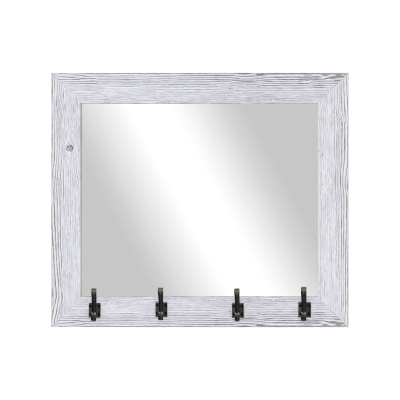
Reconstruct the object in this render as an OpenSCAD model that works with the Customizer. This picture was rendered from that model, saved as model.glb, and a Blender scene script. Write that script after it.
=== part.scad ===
// Wall mirror in a mitred, whitewashed pine frame, with four double coat hooks
// on the bottom rail. It hangs on two wall screws by a pair of D-ring hangers.
//
// Axes: X to the right seen from the front, +Z up, the front faces -Y.
// Origin: on the wall, midway between the two wall screws.
// All sizes are in millimetres.

/* [Frame] */
// Overall width of the wooden frame
frame_w = 750; // [640:1:1000]
// Overall height of the wooden frame
frame_h = 642; // [500:1:900]
// Width of the frame's face, outer edge to sight edge
face_w = 77; // [70:1:95]
// Thickness of the frame timber
frame_t = 25; // [22:0.5:35]
// Width of the rabbet that the glass sits in
rabbet_w = 8; // [7:0.5:12]
// Depth of the rabbet, from the back of the frame
rabbet_d = 10; // [9:0.5:13]
// Radius of the eased outer front edge
edge_r = 1.5; // [1:0.5:5]
// Width of the worn bevel along the sight edge
bevel = 1; // [0.5:0.5:3]

/* [Mirror] */
// Thickness of the silvered glass
glass_t = 3; // [3:0.5:4]
// Thickness of the hardboard back
board_t = 3; // [2:0.5:4]
// Slack of glass and board in the rabbet, on each side
glass_gap = 1.5; // [1:0.5:2.5]

/* [Hooks] */
// Distance of the outer hooks from the middle
hook_outer_x = 265; // [230:1:290]
// Distance of the inner hooks from the middle
hook_inner_x = 96.5; // [60:0.5:140]
// Height of the hook plates' centres above the frame's bottom edge
hook_rise = 43.6; // [38:0.2:50]
// Width of a hook's plate
plate_w = 30; // [28:0.5:36]
// Height of a hook's plate
plate_h = 36; // [32:0.5:40]
// Thickness of a hook's plate
plate_t = 3; // [2.5:0.5:4]
// Width of the hook's strap
strap_w = 12.5; // [9:0.5:13]
// Thickness of the hook's strap
strap_t = 4.5; // [3.5:0.5:5]
// Inner radius of the lower prong's bend
lower_r = 9; // [8:0.5:10]
// Lean of the upper prong from the vertical, in degrees
upper_lean = 55; // [50:1:58]
// Length of the upper prong's straight run
upper_run = 26; // [20:1:28]

/* [Hanging hardware] */
// Drop of the wall screws below the frame's top edge
hang_drop = 150; // [100:5:200]
// Gap between the frame's back and the wall
standoff = 5; // [5:0.5:7]
// Distance of each D-ring from the middle
ring_x = 340; // [330:1:345]
// Diameter of the D-ring's wire
ring_wire = 2.5; // [2:0.1:2.6]
// Turn of the stored D-ring from straight down, where it lies on its strap
ring_rest = 3; // [3:0.5:6]

/* [Hidden] */
$fn = 64;
eps = 0.01;

back_y = -standoff;               // back face of the timber
front_y = back_y - frame_t;       // front face of the timber
z_top = hang_drop;
z_bot = hang_drop - frame_h;
z_mid = (z_top + z_bot) / 2;

// glass and board
seat_w = frame_w - 2 * (face_w - rabbet_w);
seat_h = frame_h - 2 * (face_w - rabbet_w);
glass_w = seat_w - 2 * glass_gap;
glass_h = seat_h - 2 * glass_gap;
glass_y = back_y - rabbet_d;      // front face of the glass, against the lip
glass_z = z_bot + face_w - rabbet_w; // the glass stands on the rabbet's floor

// hooks: place along X, small height and tilt differences of hand fitting
hook_x = [-hook_outer_x, -hook_inner_x, hook_inner_x, hook_outer_x];
hook_dz = [-0.7, 1.2, -0.9, 0.8];
hook_turn = [0.2, 0, -0.4, 0];
hook_z0 = z_bot + hook_rise;
hole_x = 10.6;                    // screw holes in the plate, from its middle
hole_z = 10.3;
hook_screw = [1.75, 1.25, 16, 3.0, 2.0]; // major r, root r, length, head r, head height
foot = 13.5;                      // half height of the strap's upright foot
upper_r1 = 11.75;                 // inner radius of the upper prong's first bend
upper_r2 = 9.75;                  // inner radius of its last bend
upper_tip = 7.8;                  // length of its upright end
lower_tip = 9.1;                  // length of the lower prong's upright end

// D-ring hangers
ring_r = ring_wire / 2;
sheet = 0.8;                      // thickness of the strap's sheet
ring_play = 0.1;                  // radial clearance of the wire in its loop
axis_h = sheet + ring_play + ring_r; // the wire's height above the timber
ring_half = 12;                   // half width of the D, at the wire's centre
ring_drop = 18;                   // height of the D, at the wire's centre
ring_bend = 3;
wall_screw_r = 2.2;
ring_z = -(ring_drop - ring_r - wall_screw_r); // height of the hinge axis
tab_w = 12;
tab_len = 46;
tab_holes = [11, 36];
tab_screw = [1.9, 1.35, 18, 3.6, 2.2];

// ---------- timber ----------

// Section of the frame: X is the distance in from the outer edge, Y the depth
module rail_section() {
  difference() {
    square([face_w, frame_t]);
    translate([face_w - rabbet_w, frame_t - rabbet_d])
      square([rabbet_w + 1, rabbet_d + 1]);
    difference() {
      translate([-1, -1]) square(edge_r + 1);
      translate([edge_r, edge_r]) circle(edge_r);
    }
    polygon([[face_w - bevel, -eps], [face_w + eps, -eps], [face_w + eps, bevel]]);
    difference() {
      translate([-1, frame_t - 1]) square([2, 2]);
      translate([1, frame_t - 1]) circle(1);
    }
  }
}

// A mitred length: outer edge along z = 0, face at y = 0, body below
module mitred(length) {
  intersection() {
    rotate([0, 90, 0]) linear_extrude(height = length, center = true) rail_section();
    translate([0, frame_t + 1, 0]) rotate([90, 0, 0])
      linear_extrude(height = frame_t + 2)
        polygon([[-length / 2, 0], [length / 2, 0],
                 [length / 2 - face_w, -face_w], [-length / 2 + face_w, -face_w]]);
  }
}

// Plan of a V-nail, its apex on the mitre, arms along -X and -Y
module v_plan() {
  polygon([[0, 0], [-9, 0], [-9, -0.8], [-0.8, -0.8], [-0.8, -9], [0, -9]]);
}

// All eight V-nails, driven in from the back
module v_nails() {
  for (sx = [-1, 1], sz = [-1, 1], a = [18, 44])
    translate([sx * (frame_w / 2 - a), back_y, z_mid + sz * (frame_h / 2 - a)])
      mirror([sx < 0 ? 1 : 0, 0, 0]) mirror([0, 0, sz < 0 ? 1 : 0])
        rotate([90, 0, 0]) linear_extrude(height = 10) v_plan();
}

// Plan of a glazing point: Y > 0 is driven into the timber, Y < 0 lies on the board
module point_plan() {
  polygon([[-7, -10], [7, -10], [7, 3], [3.5, 8], [-3.5, 8], [-7, 3]]);
}

// One point at its place on a wall of the rabbet, turned about Y
module point(x, z, turn) {
  translate([x, glass_y + glass_t + board_t + 0.8, z]) rotate([0, turn, 0])
    rotate([90, 0, 0]) linear_extrude(height = 0.8) point_plan();
}

module points_top() { for (k = [-1.5:1:1.5]) point(k * seat_w / 4, z_mid + seat_h / 2, 0); }
module points_bottom() { for (k = [-1.5:1:1.5]) point(k * seat_w / 4, z_mid - seat_h / 2, 180); }
module points_left() { for (k = [-1:1]) point(-seat_w / 2, z_mid + k * seat_h / 3, -90); }
module points_right() { for (k = [-1:1]) point(seat_w / 2, z_mid + k * seat_h / 3, 90); }

module top_rail() {
  color([0.86, 0.86, 0.90]) difference() {
    translate([0, front_y, z_top]) mitred(frame_w);
    v_nails();
    points_top();
  }
}

module bottom_rail() {
  color([0.86, 0.86, 0.90]) difference() {
    translate([0, front_y, z_bot]) rotate([0, 180, 0]) mitred(frame_w);
    v_nails();
    points_bottom();
    for (i = [0:3]) at_hook(i) hook_pilots();
  }
}

module stile_holes(s) {
  for (h = tab_holes)
    translate([s * ring_x, back_y + 1, ring_z - h]) rotate([90, 0, 0])
      cylinder(r = tab_screw[0] + 0.03, h = tab_screw[2] + 1);
}

module left_stile() {
  color([0.86, 0.86, 0.90]) difference() {
    translate([-frame_w / 2, front_y, z_mid]) rotate([0, -90, 0]) mitred(frame_h);
    v_nails();
    points_left();
    stile_holes(-1);
  }
}

module right_stile() {
  color([0.86, 0.86, 0.90]) difference() {
    translate([frame_w / 2, front_y, z_mid]) rotate([0, 90, 0]) mitred(frame_h);
    v_nails();
    points_right();
    stile_holes(1);
  }
}

module corner_v_nails() { color("silver") v_nails(); }
module glazing_points_top() { color("silver") points_top(); }
module glazing_points_bottom() { color("silver") points_bottom(); }
module glazing_points_left() { color("silver") points_left(); }
module glazing_points_right() { color("silver") points_right(); }

// ---------- glass and board ----------

module mirror_glass() {
  color([0.80, 0.82, 0.82])
    translate([-glass_w / 2, glass_y, glass_z]) cube([glass_w, glass_t, glass_h]);
}

module backing_board() {
  color([0.45, 0.32, 0.20])
    translate([-glass_w / 2, glass_y + glass_t, glass_z]) cube([glass_w, board_t, glass_h]);
}

// ---------- screws ----------

// Points of a wood screw's threaded shank, from y = 0 down to its tip
function thread(s) =
  let (pitch = 1.4, n = floor((s[2] - 3) / pitch))
  concat([[0, 0], [s[1], 0]],
         [for (i = [0:n - 1], k = [0:1]) k == 0 ? [s[0], -(i + 0.55) * pitch]
                                                : [s[1], -(i + 1) * pitch]],
         [[0, -s[2]]]);

// The cross recess in a head, cut down from z = 0
module cross_recess(depth) {
  for (a = [0, 90]) rotate([0, 0, a])
    translate([-1.6, -0.4, -depth]) cube([3.2, 0.8, depth + 1]);
}

// Countersunk screw: head flush with z = 0, shank down
module flat_screw(s) {
  difference() {
    union() {
      rotate_extrude() polygon([[0, 0], [s[3], 0], [s[3], -0.3], [s[1], -s[4]], [0, -s[4]]]);
      translate([0, 0, -s[4]]) rotate_extrude() polygon(thread([s[0], s[1], s[2] - s[4]]));
    }
    cross_recess(1.1);
  }
}

// Pan-head screw: underside of the head at z = 0, shank down
module pan_screw(s) {
  difference() {
    union() {
      rotate_extrude() polygon([[0, 0], [s[3], 0], [s[3], 1.1], [s[3] - 0.7, 1.9],
                                [s[3] - 1.8, s[4]], [0, s[4]]]);
      rotate_extrude() polygon(thread(s));
    }
    translate([0, 0, s[4]]) cross_recess(1.2);
  }
}

// ---------- coat hooks ----------

// Places something made about a plate's centre, with Y = 0 on the frame's face
module at_hook(i) {
  translate([hook_x[i], front_y, hook_z0 + hook_dz[i]]) rotate([0, hook_turn[i], 0]) children();
}

module hook_pilots() {
  for (x = [-1, 1], z = [-1, 1])
    translate([x * hole_x, -1, z * hole_z]) rotate([-90, 0, 0])
      cylinder(r = hook_screw[0] + 0.03, h = hook_screw[2] - plate_t + 1.5);
}

// Points along an arc about c, from angle a0 to a1
function arc(c, r, a0, a1, n = 12) =
  [for (i = [0:n]) c + r * [cos(a0 + (a1 - a0) * i / n), sin(a0 + (a1 - a0) * i / n)]];

// Side view of the strap: X is the distance in front of the frame, Y the height
module strap_side() {
  c = upper_lean;
  h = strap_t / 2;
  // centres of the lower half-turn, the upper prong's two bends and the two rounded tips
  low = [plate_t + lower_r + strap_t, -foot];
  up1 = [plate_t + strap_t + upper_r1, foot - 1.5];
  p3 = up1 + (upper_r1 + h) * [-cos(c), sin(c)] + upper_run * [sin(c), cos(c)];
  up2 = p3 + (upper_r2 + h) * [-cos(c), sin(c)];
  tip = up2 + [upper_r2 + h, upper_tip - h];
  low_tip = low + [lower_r + h, lower_tip - h];
  polygon(concat(
    arc(low, lower_r, 360, 180, 18),          // inside of the lower prong's bend
    arc(up1, upper_r1, 180, 180 - c),         // up the front of the foot
    arc(up2, upper_r2 + strap_t, -c, 0),      // front of the upper prong
    arc(tip, h, 0, 180, 8),
    arc(up2, upper_r2, 0, -c),                // back down its wall side
    arc(up1, upper_r1 + strap_t, 180 - c, 160, 8),
    [[plate_t - 0.5, foot + 3.7], [plate_t - 0.5, -foot - 3.9]], // sunk into the plate
    arc(low, lower_r + strap_t, 197, 360, 20), // outside of the lower bend
    arc(low_tip, h, 0, 180, 8)));
}

module hook_plate() {
  b = 1; // bevel of the plate's front edges
  intersection() {
    // bevels along the sides, then along top and bottom
    linear_extrude(height = plate_h, center = true)
      polygon([[-plate_w / 2, 0], [-plate_w / 2, -plate_t + b], [-plate_w / 2 + b, -plate_t],
               [plate_w / 2 - b, -plate_t], [plate_w / 2, -plate_t + b], [plate_w / 2, 0]]);
    rotate([90, 0, 90]) linear_extrude(height = plate_w + 2, center = true)
      polygon([[0, -plate_h / 2], [-plate_t + b, -plate_h / 2], [-plate_t, -plate_h / 2 + b],
               [-plate_t, plate_h / 2 - b], [-plate_t + b, plate_h / 2], [0, plate_h / 2]]);
  }
}

module coat_hook() {
  difference() {
    union() {
      hook_plate();
      rotate([90, 0, -90]) linear_extrude(height = strap_w, center = true) strap_side();
    }
    for (x = [-1, 1], z = [-1, 1])
      translate([x * hole_x, 0, z * hole_z]) rotate([90, 0, 0]) {
        translate([0, 0, -1]) cylinder(r = hook_screw[0] + 0.15, h = plate_t + 2);
        // seat of the countersunk head
        translate([0, 0, plate_t - hook_screw[4] - 0.1]) rotate_extrude()
          polygon([[0, 0], [hook_screw[1] + 0.1, 0],
                   [hook_screw[3] + 0.08, hook_screw[4] - 0.3],
                   [hook_screw[3] + 0.08, hook_screw[4] + 1], [0, hook_screw[4] + 1]]);
      }
  }
}

module hook_screws() {
  for (x = [-1, 1], z = [-1, 1])
    translate([x * hole_x, -plate_t, z * hole_z]) rotate([90, 0, 0])
      flat_screw(hook_screw);
}

module coat_hook_1() { color([0.17, 0.15, 0.12]) at_hook(0) coat_hook(); }
module coat_hook_2() { color([0.17, 0.15, 0.12]) at_hook(1) coat_hook(); }
module coat_hook_3() { color([0.17, 0.15, 0.12]) at_hook(2) coat_hook(); }
module coat_hook_4() { color([0.17, 0.15, 0.12]) at_hook(3) coat_hook(); }
module hook_screws_1() { color([0.06, 0.06, 0.06]) at_hook(0) hook_screws(); }
module hook_screws_2() { color([0.06, 0.06, 0.06]) at_hook(1) hook_screws(); }
module hook_screws_3() { color([0.06, 0.06, 0.06]) at_hook(2) hook_screws(); }
module hook_screws_4() { color([0.06, 0.06, 0.06]) at_hook(3) hook_screws(); }

// ---------- D-ring hangers ----------

// Side view of the folded strap below its loop: X is the height above the timber
module tab_side() {
  polygon([[0, -0.6], [axis_h, -0.6], [2 * axis_h - 0.55, -1.35], [2 * sheet, -6.2],
           [2 * sheet, -tab_len], [0, -tab_len]]);
}

// The strap seen from behind: straight sides and a round lower end
module tab_plan() {
  translate([0, -tab_len + tab_w / 2]) circle(tab_w / 2);
  translate([-tab_w / 2, -tab_len + tab_w / 2]) square([tab_w, tab_len]);
}

module hanger_strap(s) {
  translate([s * ring_x, back_y, ring_z]) difference() {
    union() {
      translate([0, axis_h, 0]) rotate([0, 90, 0]) cylinder(r = axis_h, h = tab_w, center = true);
      intersection() {
        rotate([90, 0, 90]) linear_extrude(height = tab_w + 2, center = true) tab_side();
        translate([0, 10, 0]) rotate([90, 0, 0]) linear_extrude(height = 20) tab_plan();
      }
    }
    // loop for the ring's wire, then the two screw holes
    translate([0, axis_h, 0]) rotate([0, 90, 0])
      cylinder(r = ring_r + ring_play, h = tab_w + 4, center = true);
    for (h = tab_holes) translate([0, 5, -h]) rotate([90, 0, 0])
      cylinder(r = tab_screw[0] + 0.15, h = 10);
  }
}

// The wire D, hanging down from its straight bar on the X axis
module ring_wire_d() {
  side = ring_drop - ring_half - ring_bend;
  rotate([0, 90, 0]) cylinder(r = ring_r, h = 2 * (ring_half - ring_bend) + 2 * eps, center = true);
  for (s = [-1, 1]) {
    translate([s * ring_half, 0, -ring_bend - side]) cylinder(r = ring_r, h = side);
    translate([s * (ring_half - ring_bend), 0, -ring_bend])
      mirror([s < 0 ? 1 : 0, 0, 0]) rotate([90, 0, 0]) rotate_extrude(angle = 90)
        translate([ring_bend, 0]) circle(ring_r);
  }
  translate([0, 0, -ring_bend - side]) rotate([90, 0, 0]) rotate([0, 0, 180])
    rotate_extrude(angle = 180) translate([ring_half, 0]) circle(ring_r);
}

module d_ring(s) {
  translate([s * ring_x, back_y + axis_h, ring_z]) rotate([ring_rest, 0, 0]) ring_wire_d();
}

module hanger_screws(s) {
  for (h = tab_holes)
    translate([s * ring_x, back_y + 2 * sheet, ring_z - h]) rotate([-90, 0, 0]) pan_screw(tab_screw);
}

module hanger_strap_left() { color([0.72, 0.72, 0.72]) hanger_strap(-1); }
module hanger_strap_right() { color([0.72, 0.72, 0.72]) hanger_strap(1); }
module d_ring_left() { color([0.75, 0.75, 0.75]) d_ring(-1); }
module d_ring_right() { color([0.75, 0.75, 0.75]) d_ring(1); }
module hanger_screws_left() { color([0.70, 0.70, 0.70]) hanger_screws(-1); }
module hanger_screws_right() { color([0.70, 0.70, 0.70]) hanger_screws(1); }

// ---------- bumpers ----------

module wall_bumper(s) {
  translate([s * ring_x, back_y, z_bot + 40]) rotate([-90, 0, 0]) rotate_extrude()
    polygon([[0, 0], [6.4, 0], [6.2, standoff - 1], [5.6, standoff - 0.3], [5.2, standoff], [0, standoff]]);
}

module wall_bumper_left() { color([0.85, 0.86, 0.84]) wall_bumper(-1); }
module wall_bumper_right() { color([0.85, 0.86, 0.84]) wall_bumper(1); }

top_rail();
bottom_rail();
left_stile();
right_stile();
corner_v_nails();
mirror_glass();
backing_board();
glazing_points_top();
glazing_points_bottom();
glazing_points_left();
glazing_points_right();
coat_hook_1();
coat_hook_2();
coat_hook_3();
coat_hook_4();
hook_screws_1();
hook_screws_2();
hook_screws_3();
hook_screws_4();
hanger_strap_left();
hanger_strap_right();
d_ring_left();
d_ring_right();
hanger_screws_left();
hanger_screws_right();
wall_bumper_left();
wall_bumper_right();
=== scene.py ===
import math

import bmesh
import bpy
import numpy as np
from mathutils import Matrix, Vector


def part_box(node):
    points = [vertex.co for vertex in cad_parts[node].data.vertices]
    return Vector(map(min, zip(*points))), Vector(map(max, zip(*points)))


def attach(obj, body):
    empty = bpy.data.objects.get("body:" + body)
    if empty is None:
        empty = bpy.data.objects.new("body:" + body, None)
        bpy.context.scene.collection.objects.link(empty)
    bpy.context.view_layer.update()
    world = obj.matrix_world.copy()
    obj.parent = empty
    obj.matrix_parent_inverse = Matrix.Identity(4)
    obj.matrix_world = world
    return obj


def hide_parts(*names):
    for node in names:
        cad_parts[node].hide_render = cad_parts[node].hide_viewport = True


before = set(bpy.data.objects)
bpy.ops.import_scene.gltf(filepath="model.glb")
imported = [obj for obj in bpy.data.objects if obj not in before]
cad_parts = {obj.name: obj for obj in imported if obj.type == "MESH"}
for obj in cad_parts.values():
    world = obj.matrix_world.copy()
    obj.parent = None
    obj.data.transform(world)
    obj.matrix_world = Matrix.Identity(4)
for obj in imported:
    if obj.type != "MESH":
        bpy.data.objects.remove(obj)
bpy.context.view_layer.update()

scene = bpy.context.scene

# The view takes in 1009.8 mm, so one of its 400 units is 2.5245 mm. The grain is drawn in these units.
UNIT = 2.5245
AZIMUTH = math.radians(2.3)
W, H = 750.0, 642.0  # frame, mm
FACE, DEPTH = 77.0, 25.0
Z_TOP, Z_BOT = 150.0, -492.0
Z_MID = (Z_TOP + Z_BOT) / 2
Y_FRONT, Y_BACK = -30.0, -5.0


# ---------------------------------------------------------------- stage
def make_camera():
    data = bpy.data.cameras.new("camera")
    data.sensor_width = 36.0
    data.lens = 713.8
    data.clip_start, data.clip_end = 1.0, 100.0
    cam = bpy.data.objects.new("camera", data)
    scene.collection.objects.link(cam)
    az = AZIMUTH
    aim = Vector((0.0008, -0.030, Z_MID / 1000))
    back = Vector((math.sin(az), -math.cos(az), 0.0))
    cam.location = aim + back * 20.0
    cam.rotation_mode = "QUATERNION"
    cam.rotation_quaternion = (-back).to_track_quat("-Z", "Y")
    scene.camera = cam
    return cam


make_camera()
scene.cycles.filter_width = 1.0
scene.view_settings.view_transform = "Standard"
scene.view_settings.look = "None"
scene.view_settings.exposure = 0.0
scene.view_settings.gamma = 1.0


# ---------------------------------------------------------------- node helpers
class Nodes:
    """Short calls for building a node tree."""

    def __init__(self, tree):
        self.t = tree

    def new(self, kind, **props):
        n = self.t.nodes.new(kind)
        for k, v in props.items():
            setattr(n, k, v)
        return n

    def link(self, a, b):
        self.t.links.new(a, b)

    def put(self, socket, value):
        if isinstance(value, bpy.types.NodeSocket):
            self.link(value, socket)
        elif isinstance(value, (tuple, list)):
            v = tuple(value)
            socket.default_value = v + (1.0,) if len(socket.default_value) == 4 and len(v) == 3 else v
        else:
            socket.default_value = value

    def math(self, op, a, b=0.5, c=None, clamp=False):
        n = self.new("ShaderNodeMath", operation=op, use_clamp=clamp)
        self.put(n.inputs[0], a)
        self.put(n.inputs[1], b)
        if c is not None:
            self.put(n.inputs[2], c)
        return n.outputs[0]

    def mix(self, f, a, b, blend="MIX"):
        n = self.new("ShaderNodeMix", data_type="RGBA", blend_type=blend)
        n.clamp_factor = True
        self.put(n.inputs[0], f)
        self.put(n.inputs[6], a)
        self.put(n.inputs[7], b)
        return n.outputs[2]

    def mixf(self, f, a, b):
        n = self.new("ShaderNodeMix", data_type="FLOAT")
        self.put(n.inputs[0], f)
        self.put(n.inputs[2], a)
        self.put(n.inputs[3], b)
        return n.outputs[0]

    def attr(self, name, out="Fac"):
        n = self.new("ShaderNodeAttribute", attribute_name=name, attribute_type="GEOMETRY")
        return n.outputs[out]

    def scaled(self, vector, scale, location=(0, 0, 0)):
        n = self.new("ShaderNodeMapping")
        self.link(vector, n.inputs["Vector"])
        n.inputs["Scale"].default_value = scale
        n.inputs["Location"].default_value = location
        return n.outputs[0]

    def noise(self, vector, scale=1.0, detail=3.0, rough=0.5, distort=0.0, out=0):
        n = self.new("ShaderNodeTexNoise")
        self.link(vector, n.inputs["Vector"])
        n.inputs["Scale"].default_value = scale
        n.inputs["Detail"].default_value = detail
        n.inputs["Roughness"].default_value = rough
        n.inputs["Distortion"].default_value = distort
        return n.outputs[out]

    def voronoi(self, vector, scale=1.0, feature="F1", out=0):
        n = self.new("ShaderNodeTexVoronoi", feature=feature)
        self.link(vector, n.inputs["Vector"])
        n.inputs["Scale"].default_value = scale
        return n.outputs[out]

    def remap(self, value, a, b, c=0.0, d=1.0, smooth=False):
        n = self.new("ShaderNodeMapRange", interpolation_type="SMOOTHSTEP" if smooth else "LINEAR")
        n.clamp = True
        self.put(n.inputs[0], value)
        for i, x in enumerate((a, b, c, d)):
            n.inputs[i + 1].default_value = x
        return n.outputs[0]

    def ramp(self, value, stops):
        n = self.new("ShaderNodeValToRGB")
        self.put(n.inputs[0], value)
        els = n.color_ramp.elements
        while len(els) < len(stops):
            els.new(0.5)
        for e, (p, c) in zip(els, stops):
            e.position = p
            e.color = tuple(c) + (1.0,) if len(c) == 3 else c
        return n.outputs[0]


def material(name, diffuse=(0.5, 0.5, 0.5)):
    mat = bpy.data.materials.new(name)
    mat.use_nodes = True
    mat.diffuse_color = (*diffuse, 1)
    n = Nodes(mat.node_tree)
    bsdf = next(x for x in mat.node_tree.nodes if x.type == "BSDF_PRINCIPLED")
    return mat, n, bsdf


def bump(n, bsdf, height, strength, distance):
    b = n.new("ShaderNodeBump")
    n.put(b.inputs["Height"], height)
    b.inputs["Strength"].default_value = strength
    b.inputs["Distance"].default_value = distance
    n.link(b.outputs[0], bsdf.inputs["Normal"])
    return b


# ---------------------------------------------------------------- noise in numpy
def _hash(ix, iy, seed):
    n = (ix.astype(np.int64) * 374761393 + iy.astype(np.int64) * 668265263 + int(seed) * 974634777) & 0xFFFFFFFF
    n = ((n ^ (n >> 13)) * 1274126177) & 0xFFFFFFFF
    n = ((n ^ (n >> 16)) * 2246822519) & 0xFFFFFFFF
    return ((n ^ (n >> 15)) & 0xFFFFFF) / float(0xFFFFFF)


def noise2(x, y, seed):
    """Smooth noise from -1 to 1, the same on every run."""
    x, y = np.broadcast_arrays(np.asarray(x, float), np.asarray(y, float))
    ix, iy = np.floor(x), np.floor(y)
    fx, fy = x - ix, y - iy
    sx, sy = fx * fx * fx * (fx * (fx * 6 - 15) + 10), fy * fy * fy * (fy * (fy * 6 - 15) + 10)
    a, b = _hash(ix, iy, seed), _hash(ix + 1, iy, seed)
    c, d = _hash(ix, iy + 1, seed), _hash(ix + 1, iy + 1, seed)
    return ((a * (1 - sx) + b * sx) * (1 - sy) + (c * (1 - sx) + d * sx) * sy) * 2 - 1


def fbm(x, y, seed, octaves=3, gain=0.5):
    total, amp, norm = 0.0, 1.0, 0.0
    for i in range(octaves):
        total = total + amp * noise2(np.asarray(x) * 2**i, np.asarray(y) * 2**i, seed + 17 * i)
        norm += amp
        amp *= gain
    return total / norm


def smoothstep(x, a, b):
    t = np.clip((x - a) / (b - a), 0, 1)
    return t * t * (3 - 2 * t)


# ---------------------------------------------------------------- the grain
def course(x, y, u, soft=1.2):
    """Smooth curve through a few points, read at u."""
    g = np.arange(x[0] - 4.0, x[-1] + 4.0, 0.4)
    k = np.exp(-0.5 * (np.arange(-12, 13) * 0.4 / soft) ** 2)
    k /= k.sum()
    return np.interp(u, g, np.convolve(np.pad(np.interp(g, x, y), 12, mode="edge"), k, mode="valid"))


def pressed(d):
    """How much of the groove's colour a drawn darkness takes: the darkest marks stand out."""
    return 0.95 * np.clip(d, 0, 1.2) ** 1.25 + 0.13 * smoothstep(np.asarray(d, float), 0.72, 1.1)


class Board:
    """The grain of one length of timber. U runs along it and V in from its outer edge, both in units.
    edge and sign turn a drawn place across the frame into V."""

    def __init__(self, seed, edge, sign, lines, strokes=(), knots=(), tone=(), thin=(), fine_from=(), pitch=1.9, fine=0.45, loose=0.35, cast=0.3, press=1.0, wander=1.0):
        self.seed, self.edge, self.sign = seed, edge, sign
        self.lines = [np.array(p, float) for p in lines]
        for p in self.lines:
            p[:, 1] = (p[:, 1] - edge) * sign
        self.strokes = []
        for p, *rest in strokes:
            p = np.array(p, float)
            p[:, 1] = (p[:, 1] - edge) * sign
            self.strokes.append((p, *rest))
        self.knots = [(u, (v - edge) * sign, a, b) for u, v, a, b in knots]
        self.tone = [(u, (v - edge) * sign, ru, rv, t) for u, v, ru, rv, t in tone]
        self.thin = [(u, (v - edge) * sign, ru, rv, t) for u, v, ru, rv, t in thin]
        f = np.array(fine_from, float)
        self.fine_from = (f[:, 0], (f[:, 1] - edge) * sign)
        self.pitch, self.fine, self.loose, self.cast, self.press, self.wander = pitch, fine, loose, cast, press, wander

    def flow(self, u, v):
        """V with the grain bent round the knots and wandering a little."""
        for ku, kv, a, b in self.knots:
            st = b / a
            du, dv = (u - ku) / st, v - kv
            r = np.sqrt(du * du + dv * dv) + 1e-6
            fade = np.exp(-((np.maximum(r - a, 0) / (2.4 * a)) ** 2))
            v = np.where(r >= a, v - fade * dv * (a / r) ** 2, kv)
        s = self.seed
        off = 0.45 * noise2(u / 24.0, v / 7.0, s + 1) + 0.34 * noise2(u / 8.0, v / 3.0, s + 2) + 0.20 * noise2(u / 3.2, v / 1.6, s + 4)
        return v + self.wander * off

    def fields(self, u, v):
        shape = u.shape
        u, v = u.ravel(), v.ravel()
        s = self.seed
        dark, lite, bare, core = (np.zeros_like(u) for _ in range(4))
        shake = 0.14 * noise2(u / 4.5, v / 2.2, s + 21) + 0.12 * noise2(u / 1.8, v / 1.2, s + 22)
        # drawn lines
        for k, p in enumerate(self.lines):
            m = (u > p[0, 0] - 2) & (u < p[-1, 0] + 2)
            m &= (v > p[:, 1].min() - 3) & (v < p[:, 1].max() + 3)
            if not m.any():
                continue
            um = u[m]
            c = course(p[:, 0], p[:, 1], um)
            d = course(p[:, 0], p[:, 2], um, 0.8)
            ends = np.clip(np.minimum(um - p[0, 0] + 1.5, p[-1, 0] - um + 1.5) / 2.5, 0, 1)
            d = d * ends * (1.0 + 0.15 * noise2(um / 6.0, k * 7.3 + 0.5, s + 23) + 0.09 * noise2(um / 1.9, k * 3.1 + 0.5, s + 24))
            d = self.press * pressed(d)
            off = v[m] + shake[m] - c
            sig = 0.34 + 0.24 * np.clip(d, 0, 1.2)
            sig = sig * (1 + 0.20 * noise2(um / 3.5, k * 5.1 + 0.5, s + 25))
            g = d * np.exp(-((np.abs(off) / sig) ** 2.4))
            ridge = np.exp(-(((np.abs(off) - sig - 0.52) / 0.40) ** 2)) * np.where(off > 0, 1.0, 0.85)
            ridge = ridge * np.clip(d * 1.35 + 0.36 * noise2(um / 3.6, k * 2.3 + np.sign(off) * 0.3, s + 26), 0, 1)
            dark[m] = np.maximum(dark[m], g)
            lite[m] = np.maximum(lite[m], ridge)
        # fine grain further in, and faintly between the drawn lines
        f = self.flow(u, v)
        start = course(*self.fine_from, u, 4.0)
        amount = smoothstep(v, start - 2.0, start + 1.0)
        taken = np.maximum(dark, lite * 0.8)
        ring = (f - start) / self.pitch
        line = np.round(ring)
        off = (ring - line) * self.pitch
        power = 0.52 + 1.1 * noise2(u / 10.0, line * 5.3 + 0.5, s + 7) + 1.0 * noise2(u / 3.3, line * 2.9 + 0.5, s + 8)
        power = np.clip(power, 0, 1.7) * self.fine * (self.loose + (1 - self.loose) * amount)
        sig = 0.36 * (1 + 0.3 * noise2(u / 3.0, line * 2.3 + 0.5, s + 9))
        g = power * np.exp(-((off / sig) ** 2))
        half = (np.abs(off) - self.pitch / 2) / 0.36
        r = np.exp(-(half**2)) * np.clip(0.35 + 1.0 * noise2(u / 9.0, np.floor(ring) * 3.7 + 0.5, s + 10), 0, 1) * 0.75
        # a second, finer set
        ring2 = (f + 0.35 * noise2(u / 7.0, f / 2.0, s + 12)) / (self.pitch * 0.53)
        line2 = np.round(ring2)
        off2 = (ring2 - line2) * self.pitch * 0.53
        p2 = np.clip(0.18 + 1.2 * noise2(u / 4.2, line2 * 4.1 + 0.5, s + 13), 0, 1) * 0.6 * self.fine
        g2 = p2 * np.exp(-((off2 / 0.26) ** 2)) * (0.45 + 0.55 * amount)
        dark = np.maximum(dark, (g + g2 * 0.8) * (1 - np.clip(taken * 1.1, 0, 1)))
        lite = np.maximum(lite, r * (self.loose + (1 - self.loose) * amount) * (1 - np.clip(dark * 2, 0, 1)))
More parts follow.
